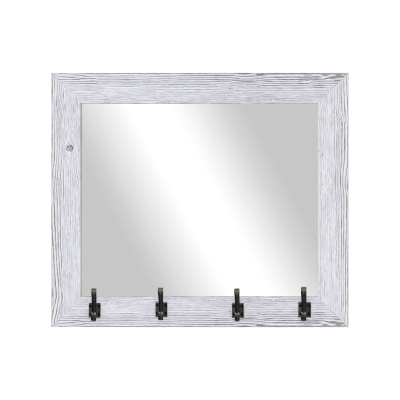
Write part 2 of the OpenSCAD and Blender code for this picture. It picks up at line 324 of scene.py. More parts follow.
        # knots: a grey heart in rings, darker on the inner side
        for ku, kv, a, b in self.knots:
            du, dv = (u - ku) * a / b, v - kv
            r = np.sqrt(du * du + dv * dv) / a
            th = np.arctan2(dv, du)
            rho = r + 0.09 * noise2(np.cos(th) * 2.2 + 5, np.sin(th) * 2.2 + 9, s + 71) + 0.05 * noise2(u / 1.1, v / 1.1, s + 72)
            inside = smoothstep(-rho, -1.08, -0.92)
            ringed = 0.36 + 0.18 * noise2(u / 1.3, v / 1.3, s + 73)
            ringed = ringed + 0.30 * np.exp(-(((rho - 0.80) / 0.13) ** 2)) * (0.5 + 0.5 * np.sin(th + 0.1)) ** 1.5
            ringed = ringed + 0.22 * np.exp(-(((rho - 0.45) / 0.12) ** 2)) * (0.6 + 0.4 * np.cos(th - 2.4))
            dark = dark * (1 - inside) + inside * np.clip(ringed, 0, 1)
            halo = np.exp(-(((rho - 1.12) / 0.16) ** 2))
            lite = lite * (1 - inside) + 0.35 * halo * (1 - inside)
            dark = np.maximum(dark, 0.20 * halo * (0.5 - 0.5 * np.sin(th)))
            core = np.maximum(core, inside)
        # single marks: points, half width, dark, bare, white
        for p, w, d, b, l in self.strokes:
            m = (u > p[:, 0].min() - 4 * w) & (u < p[:, 0].max() + 4 * w)
            m &= (v > p[:, 1].min() - 4 * w - 1) & (v < p[:, 1].max() + 4 * w + 1)
            if not m.any():
                continue
            um, vm = u[m], v[m] + shake[m]
            best = np.hypot(um - p[0, 0], vm - p[0, 1])
            where = np.full(um.shape, 0.5 if len(p) == 1 else 0.0)
            for i in range(len(p) - 1):
                d0 = p[i + 1] - p[i]
                t = np.clip(((um - p[i, 0]) * d0[0] + (vm - p[i, 1]) * d0[1]) / max(d0 @ d0, 1e-9), 0, 1)
                r = np.hypot(um - p[i, 0] - t * d0[0], vm - p[i, 1] - t * d0[1])
                where = np.where(r < best, (i + t) / (len(p) - 1), where)
                best = np.minimum(best, r)
            taper = 1 if len(p) == 1 else 0.45 + 0.55 * np.sqrt(np.clip(4 * where * (1 - where), 0, 1))
            g = np.exp(-((best / (w * taper)) ** 2.6)) * (1 + 0.25 * noise2(um / 2.6, vm / 0.8, s + 27))
            if l > 0:
                lite[m] = np.maximum(lite[m], l * g)
                dark[m] = dark[m] * (1 - np.clip(g * l, 0, 1))
            if d > 0:
                dark[m] = np.maximum(dark[m], float(pressed(d)) * g)
                lite[m] = lite[m] * (1 - np.clip(g, 0, 1))
            bare[m] = np.maximum(bare[m], b * g)
        return [x.reshape(shape) for x in (dark, lite, bare, core, f / self.pitch)]

    def toned(self, u, v):
        """Soft patches of grey (above 0) and white (below 0)."""
        t = 0.45 * fbm(u / 22.0, v / 5.0, self.seed + 11, 3) + 0.28 * fbm(u / 7.0, v / 2.2, self.seed + 14, 2)
        t = t + self.cast * smoothstep(-v, -course(*self.fine_from, u, 4.0) - 1.0, -course(*self.fine_from, u, 4.0) + 4.0)
        t = t + 0.34 * noise2(u / 2.2, v / 1.0, self.seed + 15) + 0.20 * noise2(u / 1.1, v / 0.7, self.seed + 16)
        for cu, cv, ru, rv, amount in self.tone:
            t = t + amount * np.exp(-(((u - cu) / ru) ** 2) - ((v - cv) / rv) ** 2)
        return t

    def thinned(self, u, v):
        """Where the coat is so thin that it turns a greenish grey."""
        t = 0.55 * smoothstep(fbm(u / 11.0, v / 1.7, self.seed + 41, 3), 0.22, 0.62)
        for cu, cv, ru, rv, amount in self.thin:
            e = np.exp(-(((u - cu) / ru) ** 4) - ((v - cv) / rv) ** 2)
            t = np.maximum(t, amount * e * (1 + 0.35 * noise2(u / 3.0, v / 1.2, self.seed + 43)))
        return np.clip(t, 0, 1)


# The drawings below give places in the view's units: along the length, across it, and how dark.
RAIL = Board(
    11, 72.6, 1,
    lines=[
        [(80, 73.3, .4), (84, 73.4, .7), (88, 73.4, .9), (104, 73.5, .95), (112, 73.5, .8), (120, 73.3, .9), (140, 73.3, .9), (143, 74.1, .7),
         (145, 74.0, .5), (148, 73.4, .8), (156, 73.5, .9), (159, 74.1, .75), (163, 73.5, .8), (176, 73.5, .9), (184, 73.4, .75), (187, 73.3, 1),
         (193, 73.3, 1), (195, 73.4, .6), (199, 73.3, .85), (207, 73.3, .85), (210, 73.2, .55), (224, 73.2, .55), (228, 73.5, .7), (232, 73.5, .5),
         (236, 73.3, .6), (240, 73.5, 1), (251, 73.5, 1), (254, 73.2, .4)],
        [(58, 73.1, .4), (60, 73.2, .85), (65, 73.5, .85), (70, 73.8, .35), (73, 74.2, .55), (77, 74.8, .6), (81, 75.4, .95), (86, 76.1, .95),
         (90, 76.5, .8), (94, 76.7, .3), (98, 76.3, .45), (104, 76.1, .5), (112, 76.0, .5), (118, 76.0, .3), (122, 75.6, .5), (135, 75.6, .55),
         (140, 76.1, .6), (143, 76.5, .4), (147, 76.4, .2), (152, 76.3, .75), (159, 76.3, .75), (162, 76.3, .85), (167, 76.2, .8), (172, 76.0, .3),
         (178, 75.7, .5), (183, 75.6, .8), (188, 75.5, .75), (196, 75.5, .85), (206, 75.4, .95), (214, 75.4, 1), (224, 75.4, 1), (231, 75.4, .9),
         (236, 75.9, .65), (240, 76.4, .9), (247, 76.5, 1), (252, 76.2, .95), (256, 75.9, .75), (262, 74.9, .85), (266, 74.1, .9), (272, 73.6, .9),
         (280, 73.5, .85), (300, 73.5, .95), (315, 73.6, .85), (322, 73.6, .75), (330, 73.7, .9), (340, 73.8, .9), (347, 74.0, .85)],
        [(144, 77.9, .1), (150, 78.5, .4), (160, 78.5, .6), (168, 78.2, .65), (176, 78.0, .4), (186, 77.7, .5), (193, 77.4, .65), (200, 77.4, .7),
         (215, 77.4, .85), (226, 77.4, .9), (232, 77.7, .85), (238, 78.5, .85), (243, 79.2, .45), (250, 79.3, .2), (256, 78.9, .5), (261, 78.3, .75),
         (267, 77.4, .8), (272, 77.2, .9), (276, 77.3, 1), (280, 77.3, .85), (292, 77.2, .75), (298, 77.1, .85), (304, 77.2, .8), (309, 77.5, .6), (311, 77.9, .3)],
        [(55, 75.6, .35), (57, 75.8, .55), (61, 76.2, .65), (66, 76.7, .6), (69, 77.1, .95), (74, 77.4, .9), (78, 77.6, .4), (81, 78.1, .95),
         (84, 78.5, 1), (89, 78.5, .9), (94, 78.4, .9), (98, 79.0, .5), (104, 79.5, .5), (112, 79.5, .5), (120, 79.6, .8), (135, 79.6, .8),
         (139, 79.2, .6), (143, 79.1, .35), (148, 79.5, .2), (153, 78.8, .3), (163, 80.3, .5), (168, 80.4, .55), (176, 80.1, .3), (184, 79.3, .65),
         (192, 79.2, .65), (200, 79.4, .7), (215, 79.4, .9), (226, 79.4, .9), (233, 80.0, .95), (238, 80.5, .85), (244, 81.3, .9), (252, 81.4, .9),
         (257, 81.2, .6), (262, 80.2, .85), (268, 79.6, .8), (275, 79.5, .85), (285, 79.5, 1), (300, 79.5, 1), (305, 79.8, 1), (308, 80.2, .85), (311, 80.9, .3)],
        [(54, 77.9, .55), (57, 79.1, .65), (63, 79.5, .75), (70, 79.6, .75), (77, 79.5, 1), (80, 79.2, .85), (82, 78.9, .5)],
        [(176, 82.2, .1), (205, 81.5, .25), (215, 81.5, .8), (226, 81.5, .85), (232, 81.3, .4)],
        [(262, 81.4, .2), (266, 81.5, .8), (274, 81.4, .85), (277, 81.6, .3), (280, 81.5, .65), (296, 81.5, .8), (304, 81.5, .6)],
        [(313, 81.2, .6), (320, 81.2, .75), (327, 81.1, .6), (331, 80.8, .3)],
        [(57, 81.6, .4), (66, 81.5, .65), (80, 81.5, .65), (88, 81.4, .65), (91, 81.0, .8), (97, 81.0, .75), (99, 81.7, .3)],
        [(215, 83.5, .5), (221, 83.5, .55), (226, 83.2, .2)],
        [(262, 83.5, .75), (275, 83.5, .85), (290, 83.5, .8), (300, 83.5, .95), (308, 83.5, .95), (311, 82.9, .6), (313, 82.0, .3)],
        [(313, 83.5, .8), (325, 83.5, 1), (337, 83.4, .9)],
        [(61, 83.5, .5), (70, 83.5, .45), (79, 83.5, .6), (81, 83.5, .9), (97, 83.5, .95), (99, 83.5, .3)],
        [(140, 84.4, .3), (150, 84.4, .65), (158, 84.5, .7), (166, 84.6, .4), (170, 84.6, .8), (176, 84.5, .8), (184, 84.5, .8), (192, 84.4, .5),
         (201, 84.5, .8), (206, 84.5, .75), (212, 84.2, .3), (218, 84.5, .4)],
        [(231, 85.6, .3), (233, 85.6, .85), (236, 85.5, .85), (238, 85.2, .2)],
        [(258, 85.5, .5), (262, 85.6, .9), (275, 85.6, .9), (281, 85.6, .65), (295, 85.6, .7), (304, 85.6, .6), (311, 85.6, .4), (314, 85.6, .95),
         (319, 85.6, 1), (321, 85.6, .6), (324, 85.6, .95), (332, 85.6, .75)],
        [(107, 86.3, .45), (120, 86.3, .6), (133, 86.2, .55), (140, 86.4, .2)],
        [(184, 86.5, .85), (187, 86.5, .75), (189, 86.5, .2)],
        [(193, 86.4, .55), (199, 86.4, .55)],
        [(209, 86.6, .55), (220, 86.5, .55)],
        [(270, 87.9, .55), (290, 88.0, .55), (304, 88.0, .45), (313, 87.7, .65), (316, 87.7, 1), (323, 87.7, 1), (328, 87.8, .4)],
        [(111, 88.8, .35), (126, 88.8, .4)],
        [(156, 89.5, .3), (160, 89.5, .75), (164, 89.5, .75), (166, 89.5, .2)],
        [(176, 89.5, .4), (190, 89.5, .55), (205, 89.5, .55), (220, 89.5, .55), (222, 89.5, .2)],
        [(234, 90.6, .4), (236, 90.6, .95), (240, 90.6, .9), (244.5, 90.6, .5)],
        [(268, 90.6, .55), (279, 90.6, .75), (300, 90.6, .55), (330, 90.6, .5)],
        [(280, 98.5, .5), (296, 98.5, .5)], [(280, 100.6, .45), (296, 100.6, .5)],
        [(144, 100.4, .75), (146, 100.4, .6), (161, 100.4, .5)],
        [(208.5, 99.4, .6), (217, 99.4, .6)],
        [(244, 84.6, .55), (253, 84.6, .6), (261, 84.7, .5)],
        [(248, 90.5, .45), (257, 90.5, .55), (265, 90.6, .45)],
    ],
    strokes=[
        # dark patches on the outer edge, some of them bare wood
        ([(238, 73.2), (245, 73.6), (251, 73.4)], 0.85, 0.95, 0.45, 0),
        ([(257, 74.3), (262, 74.2), (267, 73.7)], 0.95, 0.92, 0.45, 0),
        ([(268, 73.3), (274, 73.4), (280, 73.3)], 0.6, 0.75, 0.8, 0),
        ([(280, 73.7), (296, 73.7), (312, 73.7)], 0.8, 0.62, 0.4, 0),
        ([(310, 73.6), (330, 73.7), (344, 73.9)], 0.75, 0.62, 0.5, 0),
        ([(186, 73.2), (193, 73.2)], 0.6, 0.85, 0.35, 0),
        ([(313, 76.6), (317, 76.6), (321.5, 76.7)], 0.5, 0.92, 0.3, 0),
        ([(314.6, 78.9), (317, 79.3), (320, 79.3), (324.5, 79.1), (328, 78.2), (331, 77.3)], 0.45, 1, 0.35, 0),
        ([(322.4, 74.7), (325.5, 75.0), (328.8, 74.8)], 1.0, 0.72, 0.45, 0),
        ([(329.4, 77.6), (334, 77.4), (338.6, 77.0)], 1.5, 0.62, 0.6, 0),
        ([(337.4, 76.9), (340.8, 76.5), (344, 76.2)], 0.9, 0.72, 0.5, 0),
        ([(326.6, 78.4), (329.4, 77.9)], 0.5, 1, 0.2, 0),
        ([(332.8, 78.0), (335.2, 78.0)], 0.45, 0.92, 0.2, 0),
        ([(336.4, 75.1), (340.8, 75.1)], 1.5, 0.6, 0.65, 0),
        ([(344, 76.2), (341.8, 76.7), (339.0, 77.0)], 0.75, 0.85, 0.45, 0),
        ([(345, 74.8)], 0.5, 0.85, 0.2, 0),
        ([(324.4, 80.9), (329, 80.6), (336, 80.5), (340.6, 80.5)], 0.45, 1, 0, 0),
        ([(304, 76.8), (308, 77.1), (311.6, 77.6)], 0.9, 0.55, 0.2, 0),
        ([(305, 79.9), (308, 80.3)], 0.7, 0.7, 0.1, 0),
        ([(282, 101.0), (298, 101.1), (313, 101.0)], 0.42, 0.42, 0, 0),
        ([(315.6, 85.4), (324, 85.4)], 0.5, 1, 0.2, 0),
        ([(316, 87.7), (323.6, 87.7)], 0.5, 1, 0.25, 0),
        ([(54.6, 75.2)], 0.5, 0.8, 0, 0),
        ([(257, 86.7), (260.5, 86.7)], 0.42, 0.85, 0, 0),
        ([(228.7, 88.5), (231.8, 88.5)], 0.42, 0.85, 0, 0),
        ([(223, 99.4), (227, 99.4)], 0.42, 0.65, 0, 0),
        ([(244.6, 98.2), (248, 98.3)], 0.4, 0.6, 0, 0),
        ([(244.6, 100.7), (251, 100.7)], 0.4, 0.6, 0, 0),
        # white streaks
        ([(320, 78.8), (324, 77.5), (330, 76.0), (334, 75.2)], 0.65, 0, 0, 0.95),
        ([(313, 75.3), (319, 75.4), (323, 76.2)], 0.7, 0, 0, 0.95),
        ([(316, 80.2), (326, 79.9), (334, 79.4), (341, 78.7), (344.7, 77.4)], 0.5, 0, 0, 0.95),
        ([(330, 75.1), (335.4, 75.1)], 0.55, 0, 0, 0.95),
        ([(341.6, 75.2), (343.6, 75.2)], 0.45, 0, 0, 0.8),
        ([(300, 82.5), (306, 81.9), (310, 81.2), (312, 80.5)], 0.65, 0, 0, 0.95),
        ([(271, 75.5), (285, 75.5), (304, 75.6)], 0.75, 0, 0, 0.95),
        ([(160, 88.3), (190, 88.3), (217, 88.4)], 0.5, 0, 0, 0.8),
        ([(107, 87.4), (125, 87.5), (142, 87.5)], 0.5, 0, 0, 0.8),
        ([(270, 89.2), (300, 89.3), (330, 89.2)], 0.5, 0, 0, 0.65),
        ([(74, 91.5), (97, 91.5)], 0.5, 0, 0, 0.8),
        ([(61, 78.1), (72, 78.2)], 0.5, 0, 0, 0.95),
        ([(57, 80.2), (92, 80.2)], 0.45, 0, 0, 0.9),
        ([(112, 74.6), (142, 74.5)], 0.5, 0, 0, 0.9),
        ([(264, 74.4), (272, 74.3), (285, 74.3), (299, 74.4)], 0.4, 0.38, 0, 0),
        ([(268, 76.9), (285, 76.9), (300, 76.8)], 0.55, 0.6, 0, 0),
        ([(256, 75.4), (267, 75.3)], 0.45, 0.5, 0, 0),
        ([(256, 80.5), (270, 80.6)], 0.45, 0.42, 0, 0),
        ([(256, 87.5), (269, 87.5)], 0.4, 0.4, 0, 0),
        ([(243, 82.4), (256, 82.5)], 0.45, 0.4, 0, 0),
        ([(243, 80.5), (255, 80.5)], 0.4, 0.3, 0, 0),
        ([(231, 79.5), (243, 79.4)], 0.42, 0, 0, 0.4),
        ([(231, 82.4), (243, 82.4)], 0.4, 0.3, 0, 0),
        ([(218, 80.6), (230, 80.6)], 0.42, 0.35, 0, 0),
        ([(218, 79.3), (230, 79.3)], 0.4, 0, 0, 0.25),
        ([(300, 79.4), (314, 79.4), (323, 79.3)], 0.5, 0.68, 0, 0),
        ([(300, 78.4), (313, 78.5)], 0.4, 0.35, 0, 0),
        ([(301, 74.4), (313, 74.4)], 0.4, 0.35, 0, 0),
        ([(314, 83.4), (334, 83.4)], 0.45, 0, 0, 0.3),
        ([(324, 80.5), (335, 80.3)], 0.5, 0, 0, 0.7),
        ([(324, 81.5), (335, 81.4)], 0.36, 0.35, 0, 0),
        ([(324, 85.4), (334, 85.4)], 0.42, 0, 0, 0.25),
        # eyes
        ([(97.7, 82.6), (99.5, 81.5), (102, 81.6), (103.8, 82.8)], 0.3, 0.4, 0, 0),
        ([(97.7, 82.9), (99.5, 84.2), (102, 84.2), (103.8, 83.0)], 0.3, 0.4, 0, 0),
        ([(100, 82.7), (102, 82.8)], 0.55, 0, 0, 0.95),
        ([(97.5, 75.2), (101, 75.0), (103, 76.0)], 0.35, 0.35, 0, 0),
        ([(100, 91.6), (102, 90.4), (104.3, 91.4)], 0.3, 0.4, 0, 0),
        ([(100.5, 92.0), (103, 92.0)], 0.5, 0, 0, 0.9),
        ([(95.5, 92.7), (99, 93.2), (102.4, 93.9)], 0.38, 0.65, 0, 0),
        # dark marks in the fine grain
        ([(85.2, 99.7), (87.3, 99.6)], 0.5, 0.75, 0, 0),
        ([(83, 98.6), (86.2, 98.2), (89, 99.6)], 0.3, 0.4, 0, 0),
        ([(75.5, 102.6), (80, 102.6)], 0.4, 0.6, 0, 0),
        ([(83, 95.4), (94, 95.4)], 0.35, 0.55, 0, 0),
        ([(88, 90.2), (97, 90.2)], 0.35, 0.5, 0, 0),
        ([(182.6, 87.3), (183.6, 87.9)], 0.4, 0.7, 0, 0),
        ([(224.3, 93.5), (224.9, 93.5)], 0.45, 0.85, 0, 0),
        ([(239.1, 93.0), (239.3, 94.2)], 0.45, 0.75, 0, 0),
        ([(248, 98.5), (252.5, 98.5)], 0.38, 0.65, 0, 0),
        ([(251, 100.8), (255.5, 100.4)], 0.38, 0.6, 0, 0),
        ([(257.5, 97.4), (259.5, 97.6)], 0.38, 0.55, 0, 0),
        ([(264.5, 96.5), (268, 96.6)], 0.38, 0.5, 0, 0),
        ([(116, 96.6), (124, 96.5)], 0.4, 0.5, 0, 0),
        ([(105, 99.4), (108.5, 99.5)], 0.4, 0.75, 0, 0),
        ([(274.2, 98.4), (277, 98.6)], 0.5, 0.7, 0, 0),
        ([(270, 99.6), (272.6, 99.2)], 0.4, 0.5, 0, 0),
        ([(279, 99.6), (280, 99.2)], 0.45, 0.6, 0, 0),
        ([(278.6, 96.3), (279.6, 97.0)], 0.4, 0, 0, 0.9),
        ([(278.6, 101.4), (280.4, 102.6)], 0.4, 0.45, 0, 0),
        ([(272.8, 100.6), (274.4, 100.4)], 0.5, 0, 0, 0.95),
        # next to the sight edge
        ([(286, 102.0), (300, 101.9), (317, 102.0)], 0.42, 0, 0, 0.85),
        ([(146, 101.6), (160, 101.7)], 0.45, 0, 0, 0.85),
    ],
    tone=[(200, 100, 140, 5, 0.22), (316, 78.5, 26, 4, 0.6), (60, 97, 14, 8, -0.3), (130, 81.3, 30, 1.2, 0.45), (190, 82.0, 30, 1.6, 0.35), (295, 87.2, 30, 1.4, 0.5), (95, 92, 60, 6, -0.25), (280, 76, 34, 6, 0.9),
          (120, 93, 50, 8, -0.45), (155, 84, 14, 5, -0.4), (322, 77, 14, 6, 0.5), (272, 96, 20, 5, 0.4)],
    thin=[(115, 81.4, 12, 1.4, .6), (155, 78.7, 12, 1.0, .6), (186, 82.6, 22, 2.6, .5), (208, 81.8, 9, 2.2, .5), (251, 83.4, 12, 2.8, .55),
          (243, 87.5, 4, 1.0, .7), (223, 96.4, 9, .8, .5)],
    fine_from=[(50, 85.4), (100, 86.0), (160, 90.4), (220, 90.8), (262, 92.2), (350, 92.4)],
    pitch=1.95,
    fine=0.32,
    cast=0.63,
    press=0.95,
    wander=0.7,
)

LEFT = Board(
    23, 51.3, 1,
    lines=[
        [(79.4, 52.4, .7), (83, 52.5, .85), (94, 52.5, .75), (103, 52.4, .3), (112, 52.3, .2), (116, 52.2, .65), (124, 52.2, .8), (140, 52.3, .9),
         (147, 52.3, .85), (152, 52.0, .5), (157, 51.6, .1)],
        [(79.8, 54.7, .75), (89, 54.8, .7), (94, 54.9, .2), (100, 54.4, .4), (108, 54.2, .55), (114, 54.4, .55), (120, 54.4, .6), (134, 54.6, .6),
         (148, 54.7, .65), (150, 54.6, .9), (160, 54.5, .95), (162, 54.2, .75), (164.5, 53.5, .9), (169, 53.0, .85), (173, 52.7, .9), (177, 52.4, .75), (182, 52.1, .2)],
        [(83, 57.3, .5), (86.6, 57.4, .7), (92, 57.3, .45), (98, 56.8, .4), (100, 56.4, .75), (105, 56.3, .85), (108, 56.2, .4), (114, 55.8, .55), (118, 55.6, .3)],
        [(134, 57.6, .35), (142, 57.8, .5), (150, 57.8, .35), (156, 57.0, .5), (162, 56.5, .75), (166, 56.0, .55), (170, 55.5, .65), (177, 55.4, .75),
         (182, 54.7, .65), (187, 54.3, .7), (192, 53.8, .85), (198, 53.8, .9), (203, 54.1, .95), (208, 54.5, .95), (213, 54.7, 1), (216, 54.7, .9),
         (224, 54.8, .85), (229, 55.2, .9), (237, 55.7, .9), (246, 56.1, .9), (255, 56.4, .85), (262, 56.8, .8), (269, 57.4, .8), (278, 58.1, .8),
         (284, 58.6, .95), (290, 58.8, .75), (296, 58.9, .75), (300, 58.5, .75), (304, 58.0, .85), (309, 57.0, .95), (312.4, 56.4, .95), (315.6, 55.6, .9), (319, 54.8, .9), (322, 54.4, .8), (325.5, 54.7, .6)],
        [(207, 51.7, .2), (213, 51.9, .65), (224, 52.0, .75), (230, 52.2, .9), (237, 52.5, .95), (244, 53.1, 1), (252, 53.5, .9), (260, 53.9, .85),
         (271, 54.6, .9), (278, 55.1, .9), (283, 55.4, 1), (287, 55.7, .85), (292, 56.3, 1), (297, 56.3, .9), (302, 55.6, .8), (306, 54.2, .8),
         (309, 53.4, .85), (312.6, 53.2, .85), (316, 52.4, .75), (320, 51.8, .6), (322.5, 51.6, .3)],
        [(83.5, 59.4, .6), (88, 59.5, .65), (96, 59.0, .35), (102, 58.2, .5), (109, 58.1, .5), (112, 57.9, .75), (117, 58.0, .75), (120, 58.2, .3)],
        [(134, 59.7, .4), (142, 59.6, .35), (145, 59.4, .55), (151, 59.4, .5), (158, 58.6, .55), (165, 58.4, .45), (171, 57.7, .8), (180, 57.6, .85),
         (183, 56.8, .55), (190, 56.6, .65), (194, 57.0, .55), (200, 57.3, .75), (206, 57.4, .65), (214, 57.3, .5), (224, 57.2, .45), (229, 58.0, .65),
         (235, 58.3, .85), (245, 58.3, .85), (252, 58.3, .85), (258, 59.1, .65), (264, 59.4, .75), (270, 59.5, .75), (276, 60.3, .65), (284, 60.5, .75),
         (290, 61.4, .6), (296, 62.4, .9), (301, 62.0, .8), (306, 61.0, .3)],
        [(88.5, 63.4, .5), (92, 63.4, .8), (97, 63.6, 1), (100, 63.5, .2)],
        [(155, 61.2, .35), (159, 61.3, .65), (162, 61.5, .9), (165, 61.6, .4), (170, 61.0, .35), (175, 60.6, .8), (180, 60.4, .8), (183, 59.4, .5),
         (187, 59.6, .35), (191, 61.3, .75), (195, 61.2, .55)],
        [(196, 60.0, .75), (203, 60.0, .8), (208, 60.4, .45), (212, 60.6, .55), (220, 60.5, .65), (226, 60.6, .55), (231, 60.5, .9), (240, 60.5, .8),
         (248, 60.6, .8), (252, 61.6, .4), (258, 61.9, .9), (268, 61.7, .9), (272, 61.6, .2), (280, 62.2, .45), (288, 62.6, .3)],
        [(165, 63.3, .1), (171, 63.5, .7), (180, 63.6, .75), (190, 63.6, .8), (198, 63.6, .75), (203, 63.6, .3)],
        [(196, 75.5, .45), (206, 75.4, .6), (212, 75.4, .5), (224, 75.6, .55)],
        [(217, 70.5, .4), (222, 70.5, .8), (226.5, 70.5, .75), (228, 70.5, .2)],
        [(166.5, 76.6, .7), (173, 76.5, .8), (174, 76.5, .2)],
        [(175.5, 77.6, .65), (178.5, 77.6, .6)],
    ],
    strokes=[
        # slanting streaks below the upper corner
        ([(95, 58.3), (103, 59.8), (111, 61.6), (119, 63.0)], 0.38, 0.5, 0, 0),
        ([(93, 60.6), (101, 61.4), (109, 62.6), (116, 63.9)], 0.36, 0.45, 0, 0),
        ([(99, 57.6), (108, 59.2), (118, 61.4)], 0.36, 0.5, 0, 0),
        ([(97, 59.4), (106, 61.0), (112, 62.2)], 0.36, 0, 0, 0.8),
        ([(101, 60.6), (110, 62.4), (118, 64.0)], 0.34, 0, 0, 0.75),
        ([(104, 64.5), (108, 64.7)], 0.42, 0.65, 0, 0),
        ([(120, 57.0), (127, 57.6), (134, 57.4)], 0.34, 0.4, 0, 0),
        ([(126, 71.3), (133, 71.2), (139, 71.6)], 0.9, 0.2, 0, 0),
        ([(177, 58.4), (188, 58.4)], 0.45, 0.5, 0, 0),
        ([(178, 56.8), (188, 56.9)], 0.5, 0.3, 0, 0),
        ([(187, 54.6), (200, 54.5)], 0.42, 0.55, 0, 0),
        ([(188, 57.4), (200, 57.6)], 0.4, 0.4, 0, 0),
        ([(188, 59.4), (199, 59.4)], 0.4, 0.4, 0, 0),
        ([(188, 64.5), (199, 64.4)], 0.45, 0.25, 0, 0),
        ([(120, 59.4), (128, 60.2), (134, 59.8)], 0.34, 0.4, 0, 0),
        # the knot: a dark crescent on its inner side, spots, cracks, and the grain that runs round it
        ([(145.0, 69.6), (146.0, 71.9), (147.6, 72.7), (148.8, 72.7), (150.0, 71.8)], 0.78, 1.2, 0.1, 0),
        ([(147.9, 68.9), (147.2, 68.5), (146.2, 67.4)], 0.66, 1.2, 0.05, 0),
        ([(148.4, 66.2), (150.4, 67.6)], 0.74, 1.2, 0.05, 0),
        ([(148.2, 70.9), (148.9, 70.8)], 0.85, 0.78, 0.2, 0),
        ([(150.2, 69.4), (150.2, 70)], 0.66, 1.1, 0, 0),
        ([(151.0, 70.2), (151.4, 73.0)], 0.85, 0.62, 0, 0),
        ([(148.5, 64.4), (150.5, 64.4)], 0.45, 0.7, 0, 0),
        ([(142.0, 68.7), (143.8, 68.7)], 0.42, 0.7, 0, 0),
        ([(144.8, 66.6), (144.8, 69.0)], 0.42, 0.5, 0, 0),
        ([(138, 71.8), (140.6, 72.0), (142.6, 72.9), (144.6, 74.1), (146.4, 74.5)], 0.4, 0.6, 0, 0),
        ([(138, 74.0), (140.6, 74.1), (143, 75.3), (147, 75.9), (151, 76.0)], 0.42, 0, 0, 0.85),
        ([(147.4, 66.4), (149.4, 68.2), (150.0, 68.8)], 0.45, 0, 0, 0.8),
        ([(144.6, 66.4), (145.4, 67.0)], 0.5, 0.4, 0, 0),
        ([(144.0, 71.6), (144.8, 71.0)], 0.5, 0.5, 0, 0),
        ([(148.8, 65.4), (151.6, 67.0)], 0.4, 0, 0, 0.8),
        ([(146, 77.1), (147, 77.1)], 0.4, 0.5, 0, 0),
        ([(148, 78.7), (152, 78.7)], 0.38, 0.5, 0, 0),
        ([(146.4, 62.4), (150, 62.6), (152, 63.0), (157, 63.6)], 0.38, 0.55, 0, 0),
        ([(155.4, 65.8), (156.2, 65.8)], 0.4, 0.5, 0, 0),
        ([(153.4, 71.4), (154, 71.4)], 0.42, 0.6, 0, 0),
        ([(154, 72.5), (157, 71.9)], 0.4, 0, 0, 0.8),
        # the upper corner
        ([(73.4, 52.1), (75.8, 52.1)], 0.5, 0.72, 0, 0),
        ([(77.8, 55.6)], 0.5, 0.6, 0, 0),
        ([(77.6, 53.6)], 0.45, 0.55, 0, 0),
        # marks
        ([(101.6, 77.5), (106, 77.5)], 0.5, 0.8, 0, 0),
        ([(99, 78.6), (104, 78.6)], 0.42, 0, 0, 0.9),
        ([(199.6, 66.6), (200.6, 66.7)], 0.42, 0.6, 0, 0),
        ([(199.6, 70.7), (200.6, 70.7)], 0.42, 0.6, 0, 0),
        ([(227.7, 62.6), (228.8, 62.7)], 0.45, 0.75, 0, 0),
        ([(205, 62.2), (215, 62.2), (226, 62.3)], 0.45, 0, 0, 0.9),
        ([(217, 69.5), (228, 69.5)], 0.42, 0, 0, 0.9),
        ([(217, 71.6), (228, 71.6)], 0.42, 0, 0, 0.9),
        ([(166, 74.6), (173, 74.6)], 0.4, 0.4, 0, 0),
        ([(239, 68.5), (241.5, 68.6)], 0.42, 0.5, 0, 0),
        ([(254, 67.2), (255.5, 67.5)], 0.45, 0.6, 0, 0),
        ([(283, 67.4), (285.6, 67.4)], 0.6, 0.42, 0, 0),
        ([(288, 52.1), (292, 52.3), (297, 52.1)], 0.6, 0.75, 0.3, 0),
        ([(209, 51.9), (211, 51.9)], 0.4, 0.4, 0, 0),
        # meeting streaks above the lower corner
        ([(304, 60.0), (307, 60.8), (309, 61.4), (311.2, 61.2), (312.8, 62.6)], 0.4, 0.65, 0, 0),
        ([(303, 63.2), (307, 62.4), (309, 61.8)], 0.36, 0.55, 0, 0),
        ([(307, 59.2), (309, 59.5), (311.6, 59.4), (313, 58.6), (316.6, 57.8), (319, 57.4)], 0.42, 0.68, 0, 0),
        ([(311.6, 59.5), (312.6, 60.4), (316, 60.8)], 0.42, 0.72, 0.2, 0),
        ([(314.6, 59.4), (315.6, 59.4)], 0.5, 0, 0, 0.9),
        ([(312.8, 62.6)], 0.42, 0.85, 0, 0),
        ([(312.8, 63.7)], 0.42, 0, 0, 0.85),
        ([(308, 64.4), (311, 64.0)], 0.36, 0.45, 0, 0),
    ],
    knots=[(148.2, 69.4, 3.6, 3.2)],
    tone=[(120, 72, 60, 6, -0.15), (290, 63, 24, 3, 0.3), (110, 61, 16, 3, 0.25), (125, 79.4, 16, 1.3, 0.9), (262, 79.4, 34, 1.5, -0.9),
          (312, 56, 9, 6, -0.7), (134, 74, 12, 5, 0.4), (185, 74, 12, 5, 0.4), (232, 74, 14, 5, -0.5), (272, 74, 14, 5, -0.5)],
    thin=[(130, 58.4, 12, 2.2, .5), (224, 60.0, 26, 2.0, .5)],
    fine_from=[(70, 62), (100, 64.5), (140, 61.5), (170, 65), (200, 65.4), (270, 63.6), (300, 65), (330, 58)],
    pitch=1.9,
    fine=0.33,
    loose=0.5,
    cast=0.5,
    press=1.04,
)

